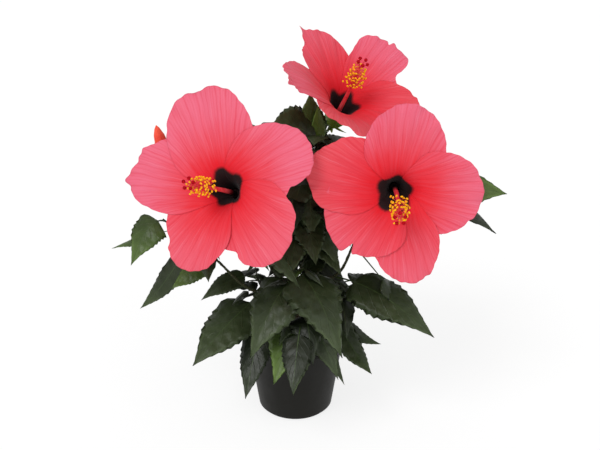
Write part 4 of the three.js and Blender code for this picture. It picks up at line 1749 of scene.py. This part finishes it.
SHOOTS = (
    Shoot(
        "left", ((-1, 0, 129), (-22, -19, 139), (-48, -36, 157), (-75, -42, 189)),
        ((-100, -38, 209), (-128, -26, 226)),
        (
            Posed(0.75, 182, 184, 185, 2, 20, roll=-15, tint=Tint.GREEN),
            Posed(0.95, 199, 166, 190, 14, 38, roll=-20, tint=Tint.GREEN),
            Posed(0.5, 194, 159, 134, -7, 24, petiole=0.14, roll=-50),
            Posed(0.05, 210, 136, 172, 2, 22, roll=-30, tint=Tint.GREEN),
        ),
        1, 6, 70,
    ),
    Shoot(
        "low_left", ((-1, 0, 109), (-14, -8, 118), (-25, -12, 130)),
        ((-33, -12, 142), (-40, -10, 157)),
        (
            Posed(0.32, 221, 131, 97, 7, 54, roll=-12),
            Posed(0.1, 240, 98, 58, 7, 32, petiole=0.4, tint=Tint.DEEP),
            Posed(0.95, 198, 99, 139, 8, 24, roll=-30),
        ),
        1, 8, 66,
    ),
    Shoot(
        "front", ((0, 0, 118), (0, -14, 131), (0, -26, 150)),
        ((1, -36, 163), (3, -42, 178)),
        (
            Posed(0.75, 246, 105, 111, 15, 64, petiole=0.1, tint=Tint.DARK),
            Posed(0.95, 294, 110, 115, 15, 60, petiole=0.1, tint=Tint.DARK),
            Posed(0.5, 350, 34, 178, 3, 26),
            Posed(0.6, 212, 36, 184, 2, 24, roll=-10),
        ),
        1, 8, 52,
    ),
    Shoot(
        "front_low", ((0, 0, 101), (4, -13, 108), (7, -26, 118)),
        ((8, -42, 127), (8, -55, 134)),
        (
            Posed(0.98, 256, 80, 72, 6, 36, petiole=0.12, roll=-35, tint=Tint.GREEN),
            # The young leaf under the two broad front leaves, coloured with their painted shade.
            Posed(0.9, 259, 106, 88, 10, 50, petiole=0.1, tint=Tint.FRESH),
            Posed(1.0, 269, 125, 91, 14, 30, petiole=0.42, tint=Tint.DEEP),
            Posed(0.85, 280, 100, 105, 16, 36, petiole=0.1, tint=Tint.DEEP),
            Posed(0.98, 269, 95, 69, 8, 30, petiole=0.3),
            Posed(0.6, 297, 93, 79, 13, 34, petiole=0.16, roll=20),
            Posed(0.1, 306, 84, 63, 8, 20, roll=20),
        ),
        0, 6, 46,
    ),
    Shoot(
        "low_right", ((0, 0, 114), (14, -7, 120), (28, -12, 128)),
        ((38, -15, 138), (47, -18, 153)),
        (
            Posed(0.2, 315, 107, 81, -8, 30),
            Posed(0.1, 347, 91, 82, -10, 20, roll=20),
            Posed(0.5, 351, 96, 113, 6, 26, roll=20),
            Posed(0.8, 328, 112, 138, 10, 38, roll=15),
            Posed(0.97, 4, 92, 138, 4, 30, roll=15),
            Posed(0.7, 333, 66, 126, 5, 30, roll=10),
        ),
        1, 8, 66,
    ),
    Shoot(
        "right", ((0, 0, 130), (24, -10, 146), (45, -19, 166), (58, -23, 199)),
        ((82, -14, 226), (114, -6, 248)),
        (
            Posed(0.52, 331, 154, 122, 12, 50, roll=20, on_bough=True),
            Posed(0.98, 339, 127, 125, 1, 28, petiole=0.5, on_bough=True),
            Posed(0.9, 357, 207, 246, 8, 46, roll=50, tint=Tint.GREEN),
        ),
        2, 10, 76,
    ),
    Shoot(
        "centre", ((0, 1, TRUNK_TOP - 3), (0, 1, 150), (5, 3, 184)),
        ((10, 3, 240), (24, 5, 296)),
        (
            Posed(0.99, 232, 38, 320, 8, 46, petiole=0.1, roll=-65),
            Posed(0.7, 262, 24, 226, 12, 38, roll=-20),
            Posed(0.12, 320, 60, 170, 12, 34),
            Posed(0.08, 215, 58, 172, 12, 34),
            Posed(0.8, 40, 86, 276, 8, 32, roll=30),
            Posed(0.42, 226, 50, 192, 8, 36),
            Posed(0.36, 292, 54, 188, 8, 36),
            Posed(0.24, 264, 60, 178, 10, 34),
            Posed(0.5, 324, 53, 176, 8, 42),
            Posed(0.62, 302, 32, 209, 6, 38),
            Posed(0.99, 72, 26, 322, 3, 24),
            Posed(0.97, 74, 18, 281, 4, 26),
            Posed(0.9, 32, 59, 276, 5, 30),
            Posed(0.97, 33, 20, 268, 3, 28),
            Posed(0.98, 28, 37, 281, 3, 22),
            Posed(0.99, 62, 29, 301, 3, 26, petiole=0.05),
            Posed(0.99, 309, 28, 300, 8, 30, petiole=0.05),
            Posed(0.99, 24, 24, 330, 0, 15, petiole=0.05, tint=Tint.OLIVE),
            Posed(0.8, 36, 18, 342, 0, 38, tint=Tint.GREEN),
        ),
        2, 26, 70,
    ),
    Shoot(
        "back_left", ((-1, 1, 122), (-18, 18, 138), (-34, 32, 160)),
        ((-48, 42, 200), (-44, 44, 246), (-30, 38, 290)),
        (), 3, 26, 82,
    ),
    Shoot(
        "back_right", ((0, 1, 120), (20, 18, 138), (36, 32, 162)),
        ((56, 46, 200), (72, 56, 256)), (), 3, 26, 82,
    ),
    Shoot(
        "back", ((0, 2, 106), (0, 20, 118), (0, 38, 136)),
        ((-2, 56, 168), (-6, 66, 214)), (), 2, 24, 80,
    ),
)

# Round patches of sky that stay open in the photograph's view: x and y in a picture 600 wide and
# 450 high, and radius.
OPEN_SKY = (
    (360, 268, 15), (226, 247, 7), (257, 110, 11), (290, 92, 13), (265, 82, 16), (225, 70, 22),
    (190, 312, 20), (150, 340, 42), (205, 385, 27), (225, 392, 12), (140, 285, 14), (215, 292, 8),
    (450, 300, 28), (410, 345, 24), (398, 378, 20), (372, 402, 20), (470, 262, 24), (500, 245, 24),
    (430, 95, 14), (452, 118, 12), (465, 145, 10), (480, 160, 10), (500, 170, 12), (318, 40, 30),
    (140, 240, 27), (128, 212, 9), (110, 228, 10), (172, 250, 18), (480, 215, 20), (505, 215, 20),
    (161, 220, 8), (232, 258, 8), (364, 327, 7),
)


@dataclass
class Leaf:
    """One leaf from its root on a stem to its tip."""

    root: np.ndarray
    tip: np.ndarray
    arch: float
    width: float
    petiole: float
    roll: float
    tint: Tint = Tint.DARK
    teeth: int = 5
    columns: tuple[float, ...] = (-1.0, -0.5, 0.0, 0.5, 1.0)

    def elbow(self) -> np.ndarray:
        """The point towards which the middle line bows."""
        return lerp(self.root, self.tip, 0.45) + UP * self.arch * 2

    def points(self, shares: np.ndarray) -> np.ndarray:
        """Points of the leaf's middle line."""
        s = shares[:, None]
        return (1 - s) ** 2 * self.root + 2 * s * (1 - s) * self.elbow() + s**2 * self.tip

    def frames(self, shares: np.ndarray) -> tuple[np.ndarray, np.ndarray]:
        """Directions along the middle line, with the blade's roll.

        Args:
            shares: places along the line, 0 to 1.

        Returns:
            The side directions and the top directions.
        """
        middle = self.elbow()
        s = shares[:, None]
        ahead = unit(2 * (1 - s) * (middle - self.root) + 2 * s * (self.tip - middle))
        flat = unit(np.stack([ahead[:, 1], -ahead[:, 0], np.zeros(len(shares))], axis=1))
        roll = math.radians(self.roll)
        side = flat * math.cos(roll) + np.cross(ahead, flat) * math.sin(roll)
        return side, unit(np.cross(side, ahead))

    def rows(self) -> tuple[np.ndarray, np.ndarray]:
        """The blade's outline, with forward-pointing teeth.

        Returns:
            Shares along the blade, and its half-width there as a share of the widest.
        """
        shares = [0.0, 0.02, 0.06, 0.12, 0.2]
        notch = [1.0, 1.0, 1.0, 1.0, 1.0]
        starts = np.linspace(0.3, 0.93, self.teeth + 1)
        for low, high in zip(starts[:-1], starts[1:]):
            shares += [low, lerp(low, high, 0.72)]
            notch += [0.95, 1.04]
        shares += [0.95, 1.0]
        notch += [0.9, 1.0]
        outline = np.interp(
            shares,
            [0, 0.02, 0.06, 0.12, 0.2, 0.32, 0.44, 0.55, 0.66, 0.76, 0.86, 0.93, 0.97, 1],
            [0.0, 0.36, 0.66, 0.88, 0.99, 1.0, 0.95, 0.84, 0.67, 0.46, 0.25, 0.12, 0.05, 0.0],
        )
        return np.array(shares), outline * np.array(notch)

    def probe(self) -> np.ndarray:
        """Spreads points over the blade, for tests of room.

        Returns:
            The points, one to a row.
        """
        shares = lerp(self.petiole, 1.0, np.array([0.08, 0.25, 0.45, 0.65, 0.85, 1.0]))
        side, _ = self.frames(shares)
        half = self.width / 2 * np.array([0.6, 0.95, 0.95, 0.7, 0.3, 0.0])[:, None]
        middle = self.points(shares)
        return np.concatenate([middle, middle + side * half, middle - side * half])

    def grow(self, blades: Soup, stalks: Soup, slots: dict[Tint, int], rib: int) -> None:
        """Adds the leaf to its mass.

        Args:
            blades: the mass's leaves.
            stalks: the mass's twigs, which take the petiole.
            slots: the slot of each tint.
            rib: the slot of the midrib.
        """
        shares, outline = self.rows()
        blade = self.width / 2
        place = lerp(self.petiole, 1.0, shares)
        middle = self.points(place)
        side, top = self.frames(place)
        rib_half = lerp(0.48, 0.1, shares) * min(1.0, self.width / 34)
        half = blade * outline
        seed = float(self.tip[0] * 0.37 + self.tip[1] * 0.11)
        strips = []
        marks = []
        for share in self.columns:
            if share == 0:
                strips += [-rib_half, rib_half]
                marks += [-0.02, 0.02]
            else:
                strips.append(share * half)
                marks.append(share)
        x = np.stack(strips, axis=1)
        x = np.where(np.abs(x) > half[:, None], np.sign(x) * half[:, None], x)
        u = np.array(marks)
        fold = -LEAF_FOLD * blade * np.abs(x / blade) ** 1.15
        sway = np.sin(11 * shares[:, None] + seed + 2.2 * np.sign(x))
        wave = 0.09 * blade * np.abs(x / blade) ** 2 * sway
        quilt = 0.04 * blade * np.sin(math.pi * np.minimum(np.abs(u), 1.0))[None, :]
        quilt = quilt * np.cos(shares[:, None] * 44 - np.abs(x / blade) * 9)
        lift = (fold + wave + quilt)[..., None]
        upper = middle[:, None] + side[:, None] * x[..., None] + top[:, None] * lift
        thick = np.where(np.abs(u) < 0.99, LEAF_SHEET, 0.0)
        thick = np.where(np.abs(u) < 0.03, LEAF_SHEET + RIB_HEIGHT, thick)
        thick = np.tile(thick, (len(shares), 1))
        thick[0] = thick[-1] = 0.0
        lower = upper - top[:, None] * thick[..., None]
        rows, columns = x.shape
        faces = grid_faces(rows, columns)
        slot = np.full((rows - 1, columns - 1), slots[self.tint])
        slot[:, int(np.argmax(u > 0)) - 1] = rib
        uv = np.stack(np.broadcast_arrays(u * 0.5 + 0.5, shares[:, None]), axis=-1)
        points = np.concatenate([upper.reshape(-1, 3), lower.reshape(-1, 3)])
        both = np.concatenate([faces[:, ::-1], faces + rows * columns])
        map_both = np.concatenate([uv.reshape(-1, 2)] * 2)
        blades.add(points, both, np.concatenate([slot.ravel()] * 2), map_both)
        stalk = self.points(np.linspace(0, self.petiole + 0.03, 7))
        thin = min(1.0, self.width / 36)
        points, faces = tube(stalk, np.linspace(1.05, 0.62, 7) * thin, 7)
        stalks.add(points, faces, 1)


@dataclass
class Mass:
    """A mass of foliage: stems, twigs and leaves that grow on from one bough."""

    shoot: Shoot
    lines: list[Curve] = field(default_factory=list)
    radii: list[tuple[float, ...]] = field(default_factory=list)
    leaves: list[Leaf] = field(default_factory=list)
    tips: KDTree | None = None

    def __post_init__(self) -> None:
        """Finds the stem and reads which twigs and leaves the CAD node has."""
        bough = Curve(self.shoot.bough)
        ahead = bough.tangent(1)
        end = np.array(self.shoot.bough[-1], float)
        path = [end + ahead * (SEAT + 0.1), end + ahead * 5, *self.shoot.stem]
        self.lines.append(Curve(path))
        self.radii.append(SHOOT_RADII)
        corners = self.cad_corners()
        self.tips = KDTree(len(corners))
        for i, corner in enumerate(corners):
            self.tips.insert(corner, i)
        self.tips.balance()

    def cad_corners(self) -> np.ndarray:
        """The corners of the mass's CAD node, in millimetres."""
        return corners_of(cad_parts[f"foliage_{self.shoot.name}"]) / MM

    def stands(self, spot: np.ndarray, within: float) -> bool:
        """Whether the CAD node has a corner at a spot."""
        return self.tips.find(spot)[2] < within

    def grow_posed(self) -> None:
        """Adds the leaves that are given one by one."""
        bough = Curve(self.shoot.bough)
        for leaf in self.shoot.leaves:
            root = (bough if leaf.on_bough else self.lines[0]).at(leaf.start)
            tip = compass(leaf.heading) * leaf.reach + UP * leaf.height
            form = (leaf.arch, leaf.width, leaf.petiole, leaf.roll, leaf.tint)
            self.leaves.append(Leaf(root, tip, *form, teeth=7, columns=POSED_COLUMNS))

    def grow_twigs(self, seed: int) -> None:
        """Adds the rule's twigs that the CAD node has.

        Args:
            seed: where the rule's chances start.
        """
        for i in range(self.shoot.twigs):
            root = self.lines[0].at(0.3 + 0.5 * i / self.shoot.twigs)
            heading = GOLDEN_TURN * i + 360 * chance(seed + i)
            reach = self.shoot.length * (0.44 + 0.16 * chance(seed + i + 50))
            end = root + compass(heading, 0.7) * reach
            if self.stands(end, TWIG_MATCH):
                self.lines.append(Curve([root, end]))
                self.radii.append(TWIG_RADII)

    def grow_leaves(self, seed: int) -> None:
        """Adds the rule's leaves that the CAD node has.

        Args:
            seed: where the rule's chances start.
        """
        count = self.shoot.more
        for n in range(count):
            line = n % len(self.lines)
            share = 0.12 + 0.86 * n / count if line == 0 else 0.45 + 0.5 * n / count
            root = self.lines[line].at(share)
            heading = GOLDEN_TURN * n + 360 * chance(seed)
            size = self.shoot.length * (0.8 + 0.35 * chance(seed + n + 100))
            fall = 0.2 + 0.55 * chance(seed + n + 200)
            tip = root + compass(heading, -fall) * size
            roll = 30 * (chance(seed + n + 300) - 0.5)
            if self.stands(tip, LEAF_MATCH):
                tint = self.spray_tint(line, seed)
                self.leaves.append(Leaf(root, tip, size * 0.18, size * 0.48, 0.22, roll, tint))

    def spray_tint(self, line: int, seed: int) -> Tint:
        """The tint of a whole spray.

        Args:
            line: which twig or spray it is.
            seed: where the rule's chances start.

        Returns:
            The tint.
        """
        draw = chance(seed + 3.7 * line + 900)
        if draw < 0.45:
            return Tint.DARK
        return Tint.DEEP if draw < 0.8 else Tint.GREEN


class Crown:
    """All masses, with the finer twigs and leaves that fill them."""

    def __init__(self) -> None:
        """Grows what the CAD has, then the finer sprays where there is room."""
        self.masses = [Mass(shoot) for shoot in SHOOTS]
        for mass in self.masses:
            mass.grow_posed()
        for k, mass in enumerate(self.masses):
            mass.grow_twigs(17 * k)
        for k, mass in enumerate(self.masses):
            mass.grow_leaves(31 * k)
        self.solid = self.obstacles()
        self.taken: dict[tuple[int, ...], list[np.ndarray]] = {}
        for mass in self.masses:
            for leaf in mass.leaves:
                self.occupy(leaf)
        for k, mass in enumerate(self.masses):
            self.fill(mass, 53 * k)

    def obstacles(self) -> BVHTree:
        """Gathers the blooms, bud, stalks, pot and limbs, which leaves keep clear of.

        Returns:
            Their faces in millimetres, to be searched by distance.
        """
        corners: list[Any] = []
        faces: list[Any] = []
        for name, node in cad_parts.items():
            if name.startswith("foliage"):
                continue
            start = len(corners)
            corners += [vertex.co / MM for vertex in node.data.vertices]
            faces += [[start + i for i in face.vertices] for face in node.data.polygons]
        return BVHTree.FromPolygons(corners, faces)

    def occupy(self, leaf: Leaf) -> None:
        """Marks the room that a leaf takes.

        Args:
            leaf: the leaf.
        """
        for point in leaf.probe():
            cell = tuple(np.floor(point / LEAF_ROOM).astype(int))
            self.taken.setdefault(cell, []).append(point)

    def crowded(self, point: np.ndarray) -> bool:
        """Whether another leaf comes too near a point.

        Args:
            point: the point in millimetres.

        Returns:
            True where one does.
        """
        cell = np.floor(point / LEAF_ROOM).astype(int)
        for step in np.ndindex(3, 3, 3):
            for other in self.taken.get(tuple(cell + step - 1), ()):
                if np.linalg.norm(other - point) < LEAF_ROOM:
                    return True
        return False

    def under_sky(self, points: np.ndarray) -> bool:
        """Whether any of the points would hide sky that the photograph shows."""
        spots = in_picture(points)
        return any(np.hypot(*(spots - [x, y]).T).min() < radius for x, y, radius in OPEN_SKY)

    def clear(self, leaf: Leaf, box: tuple[np.ndarray, np.ndarray]) -> bool:
        """Whether a leaf has room and stays within its mass's reach.

        Args:
            leaf: the leaf.
            box: lowest and highest corner of the mass.

        Returns:
            True where it may grow.
        """
        points = leaf.probe()
        if (points < box[0]).any() or (points > box[1]).any():
            return False
        if self.under_sky(np.concatenate([points, leaf.points(np.array([0.0, 0.1]))])):
            return False
        if any(self.crowded(point) for point in points):
            return False
        return all(self.solid.find_nearest(Vector(point), LIMB_CLEAR)[0] is None for point in points)

    def fill(self, mass: Mass, seed: int) -> None:
        """Adds finer twigs with smaller leaves between those that the CAD has.

        Args:
            mass: the mass to fill.
            seed: where the rule's chances start.
        """
        corners = mass.cad_corners()
        box = (corners.min(axis=0) + 1, corners.max(axis=0) - 1)
        length = mass.shoot.length
        sprays = 0
        for line, curve in list(enumerate(mass.lines)):
            count = STEM_SPRAYS if line == 0 else TWIG_SPRAYS
            for j in range(count):
                root = curve.at(0.08 + 0.9 * j / (count - 1))
                heading = GOLDEN_TURN * (j + 0.5) + 360 * chance(seed + line)
                reach = length * (0.08 + 0.3 * chance(seed + j + 400))
                end = root + compass(heading, 1.3 * chance(seed + j + 430) - 0.3) * reach
                middle = lerp(root, end, 0.5) + UP * 0.08 * reach
                twig = Curve([root, middle, end])
                if self.under_sky(twig.many(7)):
                    continue
                young = j == count - 1
                tint = Tint.OLIVE if young else mass.spray_tint(j, seed + line)
                grown = []
                for n in range(SPRAY_LEAVES):
                    start = twig.at(1.0 - 0.18 * n)
                    side = heading + 70 * (n - 1.4) + 30 * (chance(seed + 9 * j + n) - 0.5)
                    size = length * (0.3 + 0.4 * chance(seed + 7 * j + n + 600))
                    size *= 0.6 if young else 1.0
                    fall = -0.3 if young else 0.15 + 0.75 * chance(seed + 5 * j + n + 700)
                    tip = start + compass(side, -fall) * size
                    roll = 40 * (chance(seed + n + j + 800) - 0.5)
                    form = (size * 0.16, size * 0.54, 0.2, roll, tint)
                    leaf = Leaf(start, tip, *form, teeth=3, columns=FINE_COLUMNS)
                    if self.clear(leaf, box):
                        grown.append(leaf)
                        self.occupy(leaf)
                if grown:
                    mass.lines.append(twig)
                    mass.radii.append(FINE_TWIG_RADII)
                    mass.leaves += grown
                    sprays += 1
        log.info("foliage_%s: %d leaves, %d fine sprays", mass.shoot.name, len(mass.leaves), sprays)

    def build(
        self,
        finishes: dict[Tint, bpy.types.Material],
        rib: bpy.types.Material,
        stems: Sequence[bpy.types.Material],
    ) -> None:
        """Models and dresses every mass: one piece of leaves and one of twigs.

        Args:
            finishes: leaf materials by tint.
            rib: the pale midrib.
            stems: green wood and petioles.
        """
        for mass in self.masses:
            tints = sorted({leaf.tint for leaf in mass.leaves}, key=lambda tint: tint.name)
            slots = {tint: i for i, tint in enumerate(tints)}
            blades, twigs = Soup(), Soup()
            for curve, radii in zip(mass.lines, mass.radii):
                count = max(4, int(curve.lengths[-1] / 5))
                path = curve.many(count)
                swell = 1 + 0.1 * np.sin(np.arange(count) * 2.1)
                points, faces = tube(path, ramp(radii, np.linspace(0, 1, count)) * swell, 9)
                twigs.add(points, faces)
            for leaf in mass.leaves:
                leaf.grow(blades, twigs, slots, len(tints))
            node = [f"foliage_{mass.shoot.name}"]
            worn = [*(finishes[tint] for tint in tints), rib]
            dress(blades.mesh(f"leaves_{mass.shoot.name}"), worn, node)
            dress(twigs.mesh(f"twigs_{mass.shoot.name}"), stems, node)


# Trunk, boughs and stalks


@dataclass
class Limb:
    """A round limb that tapers along a curve."""

    path: Sequence[Sequence[float]]
    radii: Sequence[float]
    sides: int = 24
    pitch: float = 1.5

    def build(self, name: str) -> bpy.types.Object:
        """Bends a cylinder along the curve.

        Args:
            name: the piece's name.

        Returns:
            The limb as a closed mesh.
        """
        curve = Curve(self.path)
        steps = max(6, int(curve.lengths[-1] / self.pitch))
        bpy.ops.mesh.primitive_cylinder_add(vertices=self.sides, radius=1.0, depth=1.0)
        piece = fresh(name)
        heights = corners_of(piece)[:, 2].tolist()
        pick(piece, "edges", lambda e: abs(heights[e.vertices[0]] - heights[e.vertices[1]]) > 0.5)
        with editing(None):
            bpy.ops.mesh.subdivide(number_cuts=steps - 1)
        flat = corners_of(piece)
        rows = np.rint((flat[:, 2] + 0.5) * steps).astype(int)
        path = curve.many(steps + 1)
        across, over = frames_along(path)
        radius = ramp(self.radii, rows / steps)[:, None]
        points = path[rows] + radius * (flat[:, :1] * across[rows] + flat[:, 1:2] * over[rows])
        move_corners(piece, points * MM)
        return piece


class Wood:
    """The trunk with its flare and the ten boughs, grown together under one bark."""

    def build(self, finish: bpy.types.Material) -> None:
        """Models the wood, fuses it and gives it the bark's relief.

        Args:
            finish: bark.
        """
        trunk = Limb(TRUNK_PATH, TRUNK_RADII, 32).build("wood")
        for shoot in SHOOTS:
            bough = Limb(shoot.bough, BOUGH_RADII, 20).build("bough")
            take(trunk)
            bough.select_set(True)
            bpy.ops.object.join()
        apply_modifier(trunk, "REMESH", mode="VOXEL", voxel_size=WOOD_VOXEL * MM)
        apply_modifier(trunk, "SMOOTH", factor=0.5, iterations=6)
        for size, depth in BARK_RELIEF:
            pattern = bpy.data.textures.new("bark relief", "CLOUDS")
            pattern.noise_scale = size * MM
            apply_modifier(
                trunk,
                "DISPLACE",
                texture=pattern,
                texture_coords="LOCAL",
                strength=depth * MM,
                mid_level=0.55,
            )
        smooth_shaded(trunk)
        dress(trunk, [finish], ["trunk", *(f"bough_{shoot.name}" for shoot in SHOOTS)])


@dataclass(frozen=True)
class Stalk:
    """A flower stalk from a place along a shoot's stem to the calyx it carries."""

    name: str
    source: str
    share: float
    path: tuple[tuple[float, float, float], ...]
    head: Bloom

    def build(self, masses: Sequence[Mass], finish: bpy.types.Material) -> None:
        """Models the stalk with the joint that swells below its calyx.

        Args:
            masses: the crown's masses, for the stem it leaves.
            finish: green stalk.
        """
        stem = next(mass.lines[0] for mass in masses if mass.shoot.name == self.source)
        end = stem.at(1)
        ahead = stem.tangent(1)
        start = [end + ahead * 0.4, end + ahead * 4] if self.share == 1 else [stem.at(self.share)]
        below = self.head.carry(np.array([[0, 0, -CUP_DEPTH - 9], [0, 0, -CUP_DEPTH - SEAT]], float))
        piece = Limb([*start, *self.path, *below], STALK_RADII, 16).build(f"{self.name}_green")
        smooth_shaded(piece)
        dress(piece, [finish], [self.name])


STALKS = (
    Stalk("stalk_left", "left", 0.12, ((-86, -26, 212), (-68, -17, 232)), BLOOMS[0]),
    Stalk("stalk_right", "right", 0.45, ((86, -14, 240),), BLOOMS[1]),
    Stalk("stalk_top", "centre", 1, (), BLOOMS[2]),
    Stalk("bud_stalk", "left", 0.55, ((-111, -22, 236),), BUD),
)


# Floor, lights and camera


@dataclass
class Studio:
    """A plain pale floor, soft light and the photograph's camera."""

    target: tuple[float, float, float] = VIEW_TARGET
    elevation: float = VIEW_ELEVATION
    distance: float = VIEW_DISTANCE
    lens: float = VIEW_LENS

    def floor(self) -> None:
        """A wide pale floor."""
        bpy.ops.mesh.primitive_plane_add(size=FLOOR_SIZE * MM, location=(0, 0, -FLOOR_DROP * MM))
        piece = fresh("floor")
        desk = Desk("studio floor")
        grain = desk.noise(desk.place(), 3.0, 2.0)
        colour = desk.blend(grain, paint(130, 130, 130), paint(134, 134, 134))
        finish = desk.finish(
            Base_Color=colour,
            Roughness=0.95,
            Specular_IOR_Level=0.0,
            Emission_Color=(1.0, 1.0, 1.0, 1.0),
            Emission_Strength=0.78,
        )
        piece.data.materials.append(finish)

    def sun(self, name: str, heading: float, height: float, strength: float, softness: float) -> None:
        """A soft distant light.

        Args:
            name: the light's name.
            heading: the direction it comes from, in degrees.
            height: how high it stands, in degrees.
            strength: its strength.
            softness: how wide it looks, in degrees.
        """
        light = bpy.data.lights.new(name, "SUN")
        light.energy = strength
        light.angle = math.radians(softness)
        lamp = bpy.data.objects.new(name, light)
        way = compass(heading, math.tan(math.radians(height)))
        lamp.rotation_euler = Vector(way).to_track_quat("Z", "Y").to_euler()
        bpy.context.scene.collection.objects.link(lamp)

    def world(self, strength: float) -> None:
        """Even pale surroundings.

        Args:
            strength: how bright they are.
        """
        world = bpy.data.worlds.new("studio")
        world.use_nodes = True
        backdrop = world.node_tree.nodes["Background"]
        backdrop.inputs["Color"].default_value = (1.0, 1.0, 1.0, 1.0)
        backdrop.inputs["Strength"].default_value = strength
        bpy.context.scene.world = world

    def camera(self) -> None:
        """The photograph's viewing angle."""
        data = bpy.data.cameras.new("camera")
        data.lens = self.lens
        data.sensor_width = 36.0
        data.clip_end = 100.0
        tilt = math.radians(self.elevation)
        view = np.array([0.0, -math.cos(tilt), math.sin(tilt)])
        camera = bpy.data.objects.new("camera", data)
        camera.location = Vector((np.array(self.target) + view * self.distance) * MM)
        camera.rotation_euler = Vector(view).to_track_quat("Z", "Y").to_euler()
        bpy.context.scene.collection.objects.link(camera)
        bpy.context.scene.camera = camera

    def build(self) -> None:
        """Sets the stage."""
        bpy.context.scene.view_settings.view_transform = "Standard"
        self.floor()
        self.world(strength=0.62)
        self.sun("key", heading=235, height=48, strength=1.5, softness=30)
        self.sun("fill", heading=310, height=30, strength=0.5, softness=50)
        self.camera()


def main() -> None:
    """Builds the plant piece by piece and the studio round it."""
    logging.basicConfig(level=logging.INFO, format="%(message)s")
    plain = {finish.name: finish.material() for finish in MOTTLED}
    leaves = {tint: LeafFinish(tint).material() for tint in Tint}
    petals = {hue: [PetalFinish(hue).material(), PetalFinish(hue, True).material()] for hue in Hue}
    style = ColumnFinish().material()
    Pot().build(PotFinish().material())
    Soil().build(plain["soil"], plain["grit"])
    Wood().build(BarkFinish().material())
    crown = Crown()
    crown.build(leaves, plain["midrib"], (plain["green wood"], plain["petiole"]))
    for bloom in BLOOMS:
        bloom.build_petals(petals)
        bloom.build_column(style, plain["throat"], plain["anthers"], plain["stigma velvet"])
        bloom.build_calyx(plain["fresh green"])
    BUD.build(plain["rolled petals"], plain["fresh green"])
    for stalk in STALKS:
        stalk.build(crown.masses, plain["stalk green"])
    Studio().build()


if __name__ == "__main__":
    main()
